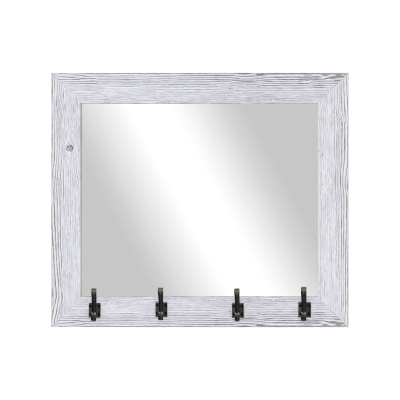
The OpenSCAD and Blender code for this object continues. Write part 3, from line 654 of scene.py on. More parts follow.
RIGHT = Board(
    37, 348.1, -1,
    lines=[
        [(76, 346.0, .6), (79, 346.1, .8), (84, 346.2, .65), (89, 346.5, .65), (97.6, 347.1, .65), (104, 347.4, .7), (113, 347.8, .65), (120, 347.9, .5),
         (124, 347.6, .5), (128, 347.5, .8), (142, 347.4, .8), (157, 347.5, .65), (162, 347.2, .75), (168, 346.8, .85), (172, 346.1, .7), (177, 345.5, .85),
         (181, 345.2, .55), (188, 345.6, .65), (194.5, 346.0, .7), (201, 346.6, .9), (205, 346.6, .95), (212, 346.5, 1), (219, 346.5, .95), (224, 346.4, .65),
         (232, 346.4, .6), (236, 346.0, .65), (240, 345.6, .9), (246, 345.5, .85), (250, 345.4, .85), (266, 345.3, .85), (285, 345.3, .9), (296, 345.4, .8),
         (308, 345.3, .75), (314, 345.0, .4)],
        [(179, 347.5, .4), (183, 347.6, .9), (188, 347.6, .9), (192, 347.8, .5)],
        [(236, 347.8, .45), (244, 347.8, .45), (250, 347.6, .8), (258, 347.5, .75), (266, 347.4, .7), (275, 347.4, .8), (281, 347.4, 1), (288, 347.5, .95),
         (292, 347.4, .7), (300, 347.4, .8), (309, 347.6, .75), (312.6, 347.6, .7), (317, 347.1, .75), (319, 346.9, .75), (322, 347.3, .65), (325, 347.3, .4)],
        [(80, 343.4, .55), (86, 343.5, .8), (96, 343.8, .85), (101, 344.0, .75), (107, 344.3, .85), (111, 344.6, .9), (115, 345.2, .65), (118.5, 345.7, .55),
         (120, 345.4, .3), (122, 344.4, .8), (127, 344.3, .75), (131, 344.4, .65), (136, 344.6, .85), (141, 344.5, .9), (148, 344.5, .95), (152, 344.2, .8),
         (158, 344.3, .85), (163, 343.7, .75), (168, 343.3, .8), (172, 342.8, .65), (178, 342.5, .75), (184, 342.5, .75), (190, 342.8, .65), (196, 343.3, .65),
         (201, 343.7, .6), (208, 343.6, .6), (216, 343.5, .55), (221, 343.4, .75), (226, 343.4, .65), (232, 343.4, .75), (240, 343.2, .8), (248, 343.4, .75),
         (256, 343.3, .7), (262, 343.0, .4), (270, 343.2, .35), (284, 343.2, .35), (292, 343.2, .55), (300, 343.2, .65), (308, 343.0, .6)],
        [(82, 341.3, .55), (90, 341.3, .6), (98, 341.3, .65), (104, 341.2, .7), (108, 341.2, .5), (112, 341.6, .75), (116, 342.6, .8), (117.5, 343.0, .3)],
        [(114, 340.3, .55), (117, 340.6, .85), (119.5, 341.9, .85)],
        [(121, 341.7, .9), (125, 341.7, 1), (128, 341.7, .85), (133, 341.7, .65), (142, 341.6, .65), (150, 341.4, .65), (152.5, 341.4, 1), (155, 341.3, .75),
         (160, 341.6, .7), (165, 341.1, .65), (168, 340.7, .75), (173, 340.3, .85), (177, 340.4, 1), (180, 340.3, .85), (186, 340.3, .95), (190, 340.4, .65),
         (196, 340.9, .75), (201, 341.2, .85), (206, 341.3, .75), (214, 341.3, .7), (220, 341.3, .8), (224, 341.4, .85), (232, 341.3, .78), (240, 341.3, .76),
         (246, 341.3, .76), (252, 341.3, .76), (260, 341.3, .65), (264, 341.5, .4), (280, 341.3, .4), (288, 341.3, .55), (294, 341.4, .7), (300, 341.3, .8),
         (306, 341.3, .75), (312, 341.2, .5)],
        [(84, 339.8, .6), (95, 339.7, .7), (102, 339.6, .65), (106, 339.6, .5)],
        [(83, 337.4, .7), (87, 337.5, .65), (89, 337.5, .4), (95, 337.4, .5), (103, 337.4, .5), (106, 337.2, .2)],
        [(109, 338.2, .3), (112, 338.4, .8), (115, 338.6, .3)],
        [(109, 336.6, .3), (112, 336.5, .75), (116, 336.4, .55), (118, 336.8, .2)],
        [(122, 339.4, .45), (126, 339.4, .65), (129, 339.4, .4)],
        [(122, 337.2, .45), (126, 337.4, .7), (129, 337.2, .3)],
        [(133, 338.4, .45), (137, 338.4, .65), (148, 338.5, .45)],
        [(133, 336.6, .5), (139, 336.5, .65), (146, 336.4, .65), (152, 336.6, .3)],
        [(88, 334.1, .4), (100, 334.2, .45), (112, 333.9, .55), (120, 333.9, .65), (130, 334.2, .55), (140, 334.3, .6), (148, 334.4, .65), (158, 334.3, .5), (161, 334.4, .2)],
        [(164, 335.3, .35), (168, 335.2, .6), (172, 335.2, .45), (178, 335.3, .55), (181.5, 335.3, .85), (186, 335.3, .65), (191, 335.3, .55), (196, 335.4, .2)],
        [(181, 332.7, .4), (186, 332.7, .45), (192, 332.7, .35)],
        [(184, 337.4, .4), (187, 337.4, .45), (190, 337.4, .35)],
        [(194.5, 339.2, .5), (201, 339.4, .55)],
        [(202, 336.3, .4), (205, 336.3, .65), (208, 336.3, .3), (213, 336.2, .55), (215, 336.2, .5)],
        [(203, 338.7, .4), (206, 338.7, .5), (211, 338.8, .55), (214, 338.6, .3), (217, 338.4, .65), (220, 338.4, .6), (223, 338.4, .2)],
        [(206, 331.5, .4), (211, 331.4, .45), (215, 331.4, .4)],
        [(234, 338.2, .4), (240, 338.2, .5)], [(240, 336.2, .3), (243, 336.1, .6), (246, 336.1, .3)],
        [(247, 335.7, .4), (249, 335.8, .7), (252, 336.1, .55), (256, 336.4, .6), (258, 336.4, .2)],
        [(250, 338.3, .35), (256, 338.4, .55), (266, 338.4, .55), (270, 338.4, .45)],
        [(264, 331.3, .45), (268, 331.3, .45)], [(271, 336.5, .4), (274, 336.5, .55), (277, 336.6, .5)],
        [(307, 335.2, .5), (311, 335.2, .55)],
        [(108, 319.9, .35), (125, 319.8, .4), (142, 319.9, .45), (146, 319.8, .3)],
        [(200, 321.4, .45), (203, 321.4, .75), (206, 321.4, .5), (215, 321.4, .4), (217, 321.4, .7), (219, 321.3, .3)],
        [(103, 322.5, .6), (108, 322.4, .5)],
    ],
    strokes=[
        ([(112.6, 342.4), (114, 341.0), (116.4, 340.4)], 0.34, 0, 0, 0.95),
        ([(116.6, 342.0), (118.6, 342.6)], 0.45, 0, 0, 0.95),
        ([(110, 339.2), (114, 339.4)], 0.5, 0, 0, 0.9),
        ([(96, 345.4), (108, 345.9), (114, 346.5), (119, 346.8)], 0.6, 0, 0, 0.95),
        ([(122, 345.9), (140, 346.1), (152, 346.0)], 0.65, 0, 0, 0.9),
        ([(163, 345.3), (172, 344.3), (178, 343.9), (184, 344.0), (194, 344.6)], 0.5, 0, 0, 0.95),
        ([(200, 347.8), (212, 347.9), (222, 347.8)], 0.6, 0, 0, 0.95),
        ([(80, 344.9), (90, 345.2)], 0.6, 0, 0, 0.9),
        ([(262, 346.4), (290, 346.4), (308, 346.3)], 0.5, 0, 0, 0.9),
        ([(100, 318.7), (150, 318.7), (220, 318.8)], 0.5, 0, 0, 0.8),
        ([(220, 318.8), (260, 318.8), (296, 318.7)], 0.5, 0, 0, 0.8),
        ([(153.5, 322.4), (155.8, 322.4)], 0.5, 0.95, 0, 0),
        ([(150.5, 318.8), (151.5, 318.9)], 0.5, 0.7, 0, 0),
        ([(184, 322.4), (185, 322.4)], 0.45, 0.65, 0, 0),
        ([(175, 325.3), (176, 325.3)], 0.4, 0.6, 0, 0),
        ([(178.4, 328.4), (179.4, 328.5)], 0.4, 0.55, 0, 0),
        ([(189.6, 327.4), (190.6, 327.3)], 0.5, 0.65, 0, 0),
        ([(192.4, 330.4), (193.2, 330.5)], 0.45, 0.65, 0, 0),
        ([(159, 327.6), (160, 327.6)], 0.4, 0.5, 0, 0),
        ([(151, 330.4), (152, 330.4)], 0.4, 0.5, 0, 0),
        ([(283.2, 319.3), (284.4, 319.4)], 0.45, 0.65, 0, 0),
        ([(290, 319.5), (294.5, 319.5)], 0.4, 0.45, 0, 0),
        ([(277, 320.6), (280, 320.5)], 0.36, 0.4, 0, 0),
        ([(196, 333.3), (197.6, 333.4)], 0.6, 0, 0, 0.9),
        ([(176, 334.4), (190, 334.4)], 0.45, 0.3, 0, 0),
        ([(176, 344.5), (190, 344.6)], 0.4, 0.3, 0, 0),
        ([(234, 344.5), (250, 344.5)], 0.5, 0, 0, 0.6),
        ([(234, 346.7), (250, 346.7)], 0.6, 0, 0, 0.35),
        ([(84, 338.5), (98, 338.5)], 0.42, 0, 0, 0.8),
        ([(85.7, 335.3), (86.4, 335.3)], 0.42, 0.65, 0, 0),
        ([(88.4, 335.3), (88.9, 335.3)], 0.42, 0.65, 0, 0),
        ([(309, 345.6), (311.6, 345.6)], 0.4, 0.55, 0, 0),
        ([(319, 344.5), (320.6, 344.5)], 0.4, 0.55, 0, 0),
        ([(309, 341.4), (312, 341.4)], 0.4, 0.6, 0, 0),
        ([(317.4, 342.2), (318, 342.2)], 0.4, 0.55, 0, 0),
        ([(314.6, 338.2)], 0.4, 0.5, 0, 0),
        ([(323, 345.9)], 0.6, 0, 0, 0.6),
    ],
    tone=[(200, 326, 140, 7, -0.35), (272, 335, 28, 6, -0.5), (150, 343, 36, 6, 0.5), (185, 334, 12, 6, 0.45), (92, 340.4, 10, 1.6, 0.3), (150, 319.6, 80, 2.6, 0.75), (262, 320.8, 36, 1.6, 0.5)],
    thin=[(94, 340.6, 12, 1.2, .4), (150, 337.6, 22, 2.6, .35), (230, 337.6, 24, 2.6, .35)],
    fine_from=[(70, 336), (110, 333), (330, 333.4)],
    pitch=1.9,
    fine=0.31,
    loose=0.6,
    cast=0.4,
    press=1.1,
)


# ---------------------------------------------------------------- timber meshes
def profile(face):
    """The section's outline from the back outer corner round the face to the back again.
    Columns: distance in from the outer edge, depth, the way that relief pushes (2), how much relief, zone."""
    rows = []

    def add(v, y, dv, dy, w, zone):
        rows.append((v, y, dv, dy, w, zone))

    for y in np.linspace(-6.0, -28.0, 21):
        add(0.0, y, 1, 0, 0.4, 0)
    for a in np.linspace(0, 90, 6):
        c, s_ = math.cos(math.radians(a)), math.sin(math.radians(a))
        add(1.5 - 1.5 * c, -28.5 - 1.5 * s_, c, s_, 0.6, 1)
    for v in np.linspace(2.0, face - 1.2, 138):
        add(v, -30.0, 0, 1, 1.0, 2)
    for t in np.linspace(0.0, 1, 4):
        add(face - 0.9 + 0.9 * t, -30.0 + 0.9 * t, -0.7, 0.7, 0.3, 3)
    for y in np.linspace(-26.6, -15.1, 9):
        add(face, y, -1, 0, 0.35, 4)
    for v in (face - 1.0, 72.5, 69.0):
        add(v, -15.05, 0, -1, 0.0, 5)
    for y in (-13.0, -9.0, -5.2):
        add(69.0, y, -1, 0, 0.0, 5)
    for v in np.linspace(67.5, 1.4, 27):
        add(v, -5.0, 0, -1, 1.0, 6)
    add(0.5, -5.13, 0.5, -0.8, 0.6, 6)
    add(0.13, -5.5, 0.8, -0.5, 0.6, 6)
    return np.array(rows)


def make_member(name, board, length, cells, place, seed, origin, flip=False, lip_from=75.6, face=FACE):
    """A mitred length with its grain in relief. place turns (along, in from the outer edge, depth) in mm into the row frame."""
    P = profile(face)
    n, m = len(P), cells + 1
    v0, y0 = P[:, 0][None, :], P[:, 1][None, :]
    a = np.linspace(0, 1, m)[:, None]
    zone = np.broadcast_to(P[:, 5][None, :], (m, n))
    # arc length round the section, so that the grain runs on over the edges
    step = np.hypot(np.diff(P[:, 0]), np.diff(P[:, 1]))
    run = np.concatenate([[0], np.cumsum(step)])
    face_start = int(np.argmax(P[:, 5] == 2))
    across = (run - run[face_start] + P[face_start, 0])[None, :] * np.ones((m, 1))
    mitre = np.minimum(v0, FACE)
    along = mitre + a * (length - 2 * mitre)
    U = along / UNIT + origin
    V = across / UNIT
    dark, lite, bare, core, ring = board.fields(U, V)
    tone = board.toned(U, V)
    thin = board.thinned(U, V)
    # the coat is thicker on the outer sides
    side = np.where(zone == 0, 0.2, 1.0)
    dark, bare, thin = dark * side, bare * side, thin * side
    back = (zone >= 5).astype(float)
    wall = (zone == 4).astype(float)
    # worn outer edge: bare wood and a slightly uneven outline
    dist_edge = np.abs(V - 0.2)
    wave = 0.5 + 0.5 * fbm(U / 9.0, 0.5, seed + 31, 3)
    wave2 = 0.5 + 0.5 * fbm(U / 30.0, 0.5, seed + 32, 2)
    edge = np.clip(1.15 * wave * wave2, 0, 1)
    worn = np.exp(-((dist_edge / 1.1) ** 2)) * smoothstep(fbm(U / 16.0, V / 3.0, seed + 33, 3), 0.10, 0.5)
    bare = np.maximum(bare, 0.5 * worn * side)
    # relief, in mm
    fibre = 0.5 + 0.5 * fbm(U * 0.9, V * 5.0, seed + 34, 2)
    relief = 0.60 * dark + 0.10 * fibre + 0.08 * (1 - lite) + 0.20 * bare + 0.20 * core
    relief = np.clip(relief, 0.02, 1.2)
    saw = 0.10 + 0.10 * fbm(U * 0.7, V * 0.4, seed + 35, 2) + 0.05 * np.sin(U * 4.1 + V * 0.6)
    w = P[:, 4][None, :] * np.ones((m, 1))
    relief = np.where(zone == 6, saw, relief) * w
    v = v0 + P[:, 2][None, :] * relief
    y = y0 + P[:, 3][None, :] * relief
    # the outline's own unevenness, on the outer side and its rounded edge
    push = np.where(zone <= 1, 0.6 * edge * smoothstep(-y0, 5.5, 22.0), 0.0)
    push = push + np.where(zone == 2, 0.75 * edge * np.clip(1 - (v0 - 1.5) / 4, 0, 1) * 0.4, 0.0)
    v = v + np.where(zone <= 1, push, 0)
    y = y + np.where((zone == 2) | (zone == 1), push * 0.5, 0)
    v = np.clip(v, 0.0, face)
    mitre = np.minimum(v, FACE)
    x = mitre + a * (length - 2 * mitre)
    co = place(x, v, y).reshape(-1, 3) / 1000.0
    i = np.arange(m - 1)[:, None] * n
    j = np.arange(n)[None, :]
    j2 = (j + 1) % n
    quads = np.stack([i + j, i + j2, i + n + j2, i + n + j], -1).reshape(-1, 4)
    if flip:
        quads = quads[:, ::-1]
    first = list(range(n))
    last = list(range((m - 1) * n, m * n))
    ends = [first[::-1], last] if not flip else [first, last[::-1]]
    me = bpy.data.meshes.new(name)
    me.vertices.add(m * n)
    me.vertices.foreach_set("co", co.astype(np.float32).ravel())
    loops = np.concatenate([quads.ravel(), np.array(ends[0] + ends[1])])
    starts = np.concatenate([np.arange(len(quads)) * 4, [len(quads) * 4, len(quads) * 4 + n]])
    totals = np.concatenate([np.full(len(quads), 4), [n, n]])
    me.loops.add(len(loops))
    me.loops.foreach_set("vertex_index", loops.astype(np.int32))
    me.polygons.add(len(totals))
    me.polygons.foreach_set("loop_start", starts.astype(np.int32))
    me.polygons.foreach_set("loop_total", totals.astype(np.int32))
    me.update(calc_edges=True)
    me.validate()
    for key, val in (("dark", dark), ("lite", lite), ("bare", bare), ("tone", tone), ("raw", back), ("core", core), ("thin", thin), ("wall", wall)):
        at = me.attributes.new(key, "FLOAT", "POINT")
        at.data.foreach_set("value", val.astype(np.float32).ravel())
    lip = ((zone == 3) * 1.0 + (zone == 2) * smoothstep(v0, lip_from - 0.5, lip_from + 0.2)).astype(float)
    cream = (zone == 2) * lip * (1 - smoothstep(v0, lip_from + 0.5, lip_from + 1.1))
    fade = 0.5 * smoothstep(along, 200.0, 290.0) + 0.5 * smoothstep(along, 340.0, 430.0)
    for key, val in (("lip", lip), ("cream", cream), ("fade", fade)):
        at = me.attributes.new(key, "FLOAT", "POINT")
        at.data.foreach_set("value", val.astype(np.float32).ravel())
    g = np.stack([along / 1000, ring * 0.0035, (y0 + 0 * along) / 1000], -1)
    at = me.attributes.new("grain", "FLOAT_VECTOR", "POINT")
    at.data.foreach_set("vector", g.astype(np.float32).ravel())
    # a map for baking: the length in two strips, the hidden faces at a third of the scale
    scale = np.where(P[:, 5] >= 5, 0.33, 1.0)
    sc = (scale + np.roll(scale, -1)) / 2
    seg = np.append(step, math.hypot(P[0, 0] - P[-1, 0], P[0, 1] - P[-1, 1])) * sc
    t = np.concatenate([[0], np.cumsum(seg)])
    t = t / t[-1]
    half = (m - 1) // 2
    uvs = np.zeros((len(quads), 4, 2))
    ii = np.repeat(np.arange(m - 1), n)
    jj = np.tile(np.arange(n), m - 1)
    strip = (ii >= half).astype(int)
    base_i = np.where(strip == 0, ii, ii - half)
    span = np.where(strip == 0, half, m - 1 - half)
    for c, (di, dj) in enumerate(((0, 0), (0, 1), (1, 1), (1, 0))):
        uvs[:, c, 0] = 0.004 + 0.985 * (base_i + di) / span
        uvs[:, c, 1] = strip * 0.5 + 0.004 + 0.485 * t[jj + dj]
    if flip:
        uvs = uvs[:, ::-1]
    # the two mitred ends, small, in the strip that the hidden faces leave
    cap = []
    for k, order in enumerate(ends):
        idx = np.array(order) % n
        cap.append(np.stack([0.9915 + 0.007 * P[idx, 0] / FACE, 0.01 + 0.02 * k + 0.012 * (P[idx, 1] + 30) / 25], -1))
    uv_all = np.concatenate([uvs.reshape(-1, 2), cap[0], cap[1]])
    layer = me.uv_layers.new(name="OFBake")
    layer.data.foreach_set("uv", uv_all.astype(np.float32).ravel())
    me.polygons.foreach_set("use_smooth", np.ones(len(totals), bool))
    ob = bpy.data.objects.new(name, me)
    scene.collection.objects.link(ob)
    return ob


def wood_material(name, tint, raw_seed, lip_a, lip_b, lip_c, fading=False):
    mat, n, bsdf = material(name, (0.8, 0.8, 0.85))
    g = n.attr("grain", "Vector")
    dark, lite, bare, tone = n.attr("dark"), n.attr("lite"), n.attr("bare"), n.attr("tone")
    raw, core, lip, thin, wall, cream = (n.attr(k) for k in ("raw", "core", "lip", "thin", "wall", "cream"))
    fibre = n.noise(n.scaled(g, (45, 1500, 900)), 1.0, 4.0, 0.6)
    streak = n.noise(n.scaled(g, (14, 620, 300), (3.1, 1.7, 0.4)), 1.0, 3.0, 0.55)
    blot = n.noise(n.scaled(g, (26, 70, 60), (7.7, 2.2, 5.1)), 1.0, 3.0, 0.5)
    # whitewash: a cool white that is thinner in some places
    f = n.math("ADD", n.math("MULTIPLY", tone, 1.1), n.remap(streak, 0.3, 0.7, -0.30, 0.30))
    f = n.math("ADD", f, n.remap(fibre, 0.25, 0.75, -0.28, 0.28))
    base = n.ramp(n.remap(f, -1.0, 1.0), [
        (0.0, tuple(c * 1.13 for c in tint)),
        (0.5, tint),
        (1.0, tuple(c * k for c, k in zip(tint, (0.78, 0.775, 0.79)))),
    ])
    blue = n.remap(blot, 0.42, 0.62, 0.0, 0.5, smooth=True)
    base = n.mix(blue, base, (0.700, 0.705, 0.800))
    base = n.mix(n.math("MULTIPLY", thin, n.remap(fibre, 0.2, 0.8, 0.5, 1.0)), base, (0.53, 0.545, 0.52))
    base = n.mix(n.math("MULTIPLY", core, 0.45), base, (0.36, 0.345, 0.335))
    base = n.mix(n.math("MULTIPLY", lite, 0.85), base, (0.95, 0.95, 0.985))
    grey = n.mix(n.remap(blot, 0.35, 0.65), (0.070, 0.066, 0.066), (0.110, 0.102, 0.088))
    d = n.math("MULTIPLY", dark, n.remap(fibre, 0.2, 0.8, 0.54, 0.78))
    base = n.mix(d, base, grey)
    brown = n.mix(fibre, (0.15, 0.132, 0.10), (0.29, 0.27, 0.215))
    base = n.mix(n.math("MULTIPLY", bare, 0.85), base, brown)
    # small specks where the brush missed
    speck = n.noise(n.scaled(g, (160, 700, 500), (1.3, 4.4, 2.0)), 1.0, 2.0, 0.5)
    base = n.mix(n.remap(speck, 0.70, 0.78, 0.0, 0.55, smooth=True), base, (0.42, 0.40, 0.38))
    # the sight edge and its bevel take colours from lip_a to lip_b that vary along the length, with a band of lip_c
    # just outside them
    run = n.noise(n.scaled(g, (17, 0.0, 0.0), (raw_seed, 2.0, 5.0)), 1.0, 3.0, 0.6)
    lipc = n.mix(n.remap(run, 0.36, 0.62), lip_a, lip_b)
    if fading:
        fade = n.attr("fade")
        lipc = n.mix(n.math("MULTIPLY", fade, 0.38), lipc, (0.55, 0.55, 0.52))
        lip_c = n.mix(n.math("MULTIPLY", fade, 0.8), lip_c, (0.72, 0.71, 0.68))
    base = n.mix(lip, base, lipc)
    base = n.mix(n.math("MULTIPLY", cream, 0.8), base, lip_c)
    base = n.mix(wall, base, n.mix(n.remap(fibre, 0.3, 0.7), (0.60, 0.585, 0.545), (0.74, 0.725, 0.69)))
    # unpainted pine at the back
    pine_ring = n.noise(n.scaled(g, (7, 260, 160), (raw_seed, 0, 0)), 1.0, 3.0, 0.55, 0.6)
    pine = n.ramp(pine_ring, [(0.25, (0.68, 0.50, 0.29)), (0.5, (0.60, 0.40, 0.20)), (0.62, (0.46, 0.27, 0.12)), (0.8, (0.64, 0.45, 0.25))])
    pine = n.mix(n.remap(fibre, 0.3, 0.75, 0.0, 0.45), pine, (0.47, 0.31, 0.17))
    smear = n.remap(n.noise(n.scaled(g, (12, 55, 42), (raw_seed, 3, 3)), 1.0, 4.0, 0.65), 0.56, 0.78, 0.0, 0.42, smooth=True)
    pine = n.mix(smear, pine, (0.78, 0.77, 0.76))
    base = n.mix(raw, base, pine)
    n.link(base, bsdf.inputs["Base Color"])
    rough = n.mixf(dark, n.remap(fibre, 0.2, 0.8, 0.55, 0.72), 0.85)
    n.link(n.mixf(raw, rough, 0.8), bsdf.inputs["Roughness"])
    bsdf.inputs["Specular IOR Level"].default_value = 0.35
    h = n.math("ADD", n.math("MULTIPLY", fibre, 0.6), n.math("MULTIPLY", streak, 0.4))
    bump(n, bsdf, h, 0.55, 0.0004)
    return mat


TINT = (0.690, 0.695, 0.755)


def put(x, y, z):
    x, y, z = np.broadcast_arrays(x, y, z)
    return np.stack([x, y, z], -1)


members = {}
members["top_rail"] = make_member(
    "Top_rail_whitewashed", RAIL, W, 430, lambda u, v, y: put(u - W / 2, y, Z_TOP - v), 101, 51.4, lip_from=76.7, face=FACE + 1.1)
members["bottom_rail"] = make_member(
    "Bottom_rail_whitewashed", RAIL, W, 430, lambda u, v, y: put(u - W / 2, y, Z_BOT + v), 101, 51.4, flip=True, lip_from=76.7, face=FACE + 1.1)
members["left_stile"] = make_member(
    "Left_stile_whitewashed", LEFT, H, 370, lambda u, v, y: put(-W / 2 + v, y, Z_TOP - u), 202, 72.7, flip=True, lip_from=73.6)
members["right_stile"] = make_member(
    "Right_stile_whitewashed", RIGHT, H, 370, lambda u, v, y: put(W / 2 - v, y, Z_TOP - u), 303, 72.7)

rail_wood = wood_material("Whitewash_rail", (0.690, 0.681, 0.740), 0.0, (0.27, 0.26, 0.28), (0.66, 0.65, 0.70), (0.70, 0.69, 0.73))
# the bottom rail takes the rail's whitewash a little lighter: painted light that makes up for the slightly weaker lamp
# light it gets
foot_wood = wood_material("Whitewash_foot", (0.700, 0.691, 0.751), 2.0, (0.27, 0.26, 0.28), (0.66, 0.65, 0.70), (0.70, 0.69, 0.73))
left_wood = wood_material("Whitewash_left", (0.744, 0.734, 0.790), 5.0, (0.27, 0.258, 0.223), (0.40, 0.382, 0.334), (0.55, 0.525, 0.40), fading=True)
right_wood = wood_material("Whitewash_right", (0.752, 0.746, 0.780), 9.0, (0.62, 0.62, 0.645), (0.75, 0.75, 0.78), (0.66, 0.66, 0.695))
for node, ob in members.items():
    ob.data.materials.append({"left_stile": left_wood, "right_stile": right_wood, "bottom_rail": foot_wood}.get(node, rail_wood))
    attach(ob, "frame")
    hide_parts(node)


# ---------------------------------------------------------------- coat hooks
def hook_path():
    """Points of the strap's middle line from the lower tip to the upper one: forward distance and height, in mm."""
    pts = []
    add = lambda d, z: pts.append((d, z))
    for z in np.linspace(-4.4, -13.5, 10)[:-1]:
        add(27.75, z)
    for t in np.linspace(0, -180, 33):
        add(16.5 + 11.25 * math.cos(math.radians(t)), -13.5 + 11.25 * math.sin(math.radians(t)))
    for z in np.linspace(-13.5, 12.0, 18)[1:-1]:
        add(5.25, z)
    for t in np.linspace(180, 125, 14):
        add(19.25 + 14.0 * math.cos(math.radians(t)), 12 + 14.0 * math.sin(math.radians(t)))
    s, c = math.sin(math.radians(55)), math.cos(math.radians(55))
    p = pts[-1]
    for k in np.linspace(0, 26, 18)[1:-1]:
        add(p[0] + k * s, p[1] + k * c)
    for t in np.linspace(-55, 0, 14):
        add(25.635 + 12.0 * math.cos(math.radians(t)), 48.21 + 12.0 * math.sin(math.radians(t)))
    for z in np.linspace(48.21, 56.0, 9)[1:]:
        add(37.635, z)
    return np.array(pts)


def make_hook(name, x0, z0, turn, seed, glint, tip_corner_wear_and_highlight, rose, lean, wide, tip_wide, neck, foot, size, plate_w, plate_x):
    """One casting: plate with countersunk holes and the double prong, grown together and slightly rough."""
    bm = bmesh.new()
    path = hook_path()
    seg = np.hypot(*np.diff(path, axis=0).T)
    s = np.concatenate([[0], np.cumsum(seg)])
    total = s[-1]
    tan = np.gradient(path, s, axis=0)
    tan /= np.linalg.norm(tan, axis=1)[:, None]
    nor = np.stack([-tan[:, 1], tan[:, 0]], 1)
    k = 28
    ang = np.linspace(0, 2 * math.pi, k, endpoint=False)
    rows = []
    for i in range(len(path)):
        lo, hi = s[i], total - s[i]
        # the same width from the lower tip to just above where the upper prong leaves the plate, then widening towards
        # the upper tip
        z = path[i, 1]
        w = (12.1 + wide + tip_wide * smoothstep(np.array(z), 20, 53)) * size
        skew = neck * (1 - smoothstep(np.array(z), 16, 36)) + (foot - neck) * smoothstep(np.array(-z), 12, 18)
        half_w, half_t = w / 2, 2.25
        end = min(lo, hi)
        if end < 2.25:
            half_t *= math.sqrt(max(0.0, 1 - (1 - end / 2.25) ** 2)) * 0.97 + 0.03
            half_w -= 1.3 * (1 - math.sqrt(max(0.0, 1 - (1 - end / 2.25) ** 2)))
        ring = []
        for t in ang:
            c, q = math.cos(t), math.sin(t)
            px = math.copysign(abs(c) ** 0.36, c) * half_w
            pn = math.copysign(abs(q) ** 0.52, q) * half_t
            pn *= 1 - 0.10 * (abs(px) / half_w) ** 2
            shift = 0.0
            if lo < 5:  # the lower tip is dipped in its middle
                shift = 1.5 * math.exp(-((px / 1.9) ** 2)) * max(0.0, 1 - lo / 5) ** 1.5
            p = path[i] + nor[i] * pn + tan[i] * shift
            ring.append(bm.verts.new((px - 0.5 - lean + skew, -p[0], p[1] * size)))
        rows.append(ring)
    for a, b in zip(rows, rows[1:]):
        for i in range(k):
            bm.faces.new((a[i], a[(i + 1) % k], b[(i + 1) % k], b[i]))
    bm.faces.new(rows[0][::-1])
    bm.faces.new(rows[-1])
    bmesh.ops.recalc_face_normals(bm, faces=bm.faces)
    strap = bpy.data.meshes.new(name + "_strap")
    bm.to_mesh(strap)
    bm.free()

    bm = bmesh.new()
    bmesh.ops.create_cube(bm, size=1.0)
    for v in bm.verts:
        v.co = Vector((v.co.x * 29.6, v.co.y * 3 - 1.5, v.co.z * 36))
    front = [e for e in bm.edges if all(v.co.y < -2.9 for v in e.verts)]
    bmesh.ops.bevel(bm, geom=front, offset=1.0, segments=3, profile=0.6, affect="EDGES")
    upright = [e for e in bm.edges if abs(e.verts[0].co.x - e.verts[1].co.x) < 1e-4 and abs(e.verts[0].co.z - e.verts[1].co.z) < 1e-4
               and abs(abs(e.verts[0].co.x) - 14.8) < 1e-3 and abs(abs(e.verts[0].co.z) - 18) < 1e-3]
    if upright:
        bmesh.ops.bevel(bm, geom=upright, offset=0.7, segments=3, profile=0.5, affect="EDGES")
    for v in bm.verts:
        v.co.x = v.co.x * plate_w / 29.6 + plate_x
        v.co.z = v.co.z * size * 1.028 - 0.35
    plate = bpy.data.meshes.new(name + "_plate")
    bm.to_mesh(plate)
    bm.free()

    cut = bmesh.new()
    for sx in (-1, 1):
        for sz in (-1, 1):
            rings = []
            for y, r in ((1.0, 1.92), (-1.1, 1.40), (-1.1, 1.40), (-2.72, 3.10), (-4.5, 3.30)):
                rings.append([cut.verts.new((sx * 10.6 + r * math.cos(t), y, sz * 10.3 + r * math.sin(t)))
                              for t in np.linspace(0, 2 * math.pi, 32, endpoint=False)])
            del rings[2]
            for a, b in zip(rings, rings[1:]):
                for i in range(32):
                    cut.faces.new((a[i], a[(i + 1) % 32], b[(i + 1) % 32], b[i]))
            cut.faces.new(rings[0][::-1])
            cut.faces.new(rings[-1])
    bmesh.ops.recalc_face_normals(cut, faces=cut.faces)
    holes = bpy.data.meshes.new(name + "_holes")
    cut.to_mesh(holes)
    cut.free()

    ob_p, ob_s, ob_h = (bpy.data.objects.new(m_.name, m_) for m_ in (plate, strap, holes))
    for o in (ob_p, ob_s, ob_h):
        scene.collection.objects.link(o)
    for other, op in ((ob_s, "UNION"), (ob_h, "DIFFERENCE")):
        mod = ob_p.modifiers.new("join", "BOOLEAN")
        mod.object, mod.operation, mod.solver = other, op, "EXACT"
    mod = ob_p.modifiers.new("cast", "REMESH")
    mod.mode, mod.voxel_size, mod.use_smooth_shade = "VOXEL", 0.34, True
    mod = ob_p.modifiers.new("soft", "SMOOTH")
    mod.factor, mod.iterations = 0.5, 5
    dg = bpy.context.evaluated_depsgraph_get()
    dg.update()
    me = bpy.data.meshes.new_from_object(ob_p.evaluated_get(dg))
    for o in (ob_p, ob_s, ob_h):
        bpy.data.objects.remove(o)
    me.name = name
    co = np.empty(len(me.vertices) * 3, np.float32)
    no = np.empty(len(me.vertices) * 3, np.float32)
    me.vertices.foreach_get("co", co)
    me.vertices.foreach_get("normal", no)
    co, no = co.reshape(-1, 3).astype(float), no.reshape(-1, 3).astype(float)
    # foundry skin: soft dents, only inwards
    dent = 0.5 + 0.5 * fbm(co[:, 0] / 3.1 + co[:, 1] / 4.0, co[:, 2] / 3.3 + co[:, 1] / 5.0, seed, 3)
    rough = 0.5 + 0.5 * noise2(co[:, 0] / 0.9 + co[:, 1], co[:, 2] / 0.9 - co[:, 1], seed + 5)
    on_back = co[:, 1] > -0.25
    amount = np.where(on_back, 0.0, 0.16 * dent + 0.05 * rough)
    co = co - no * amount[:, None]
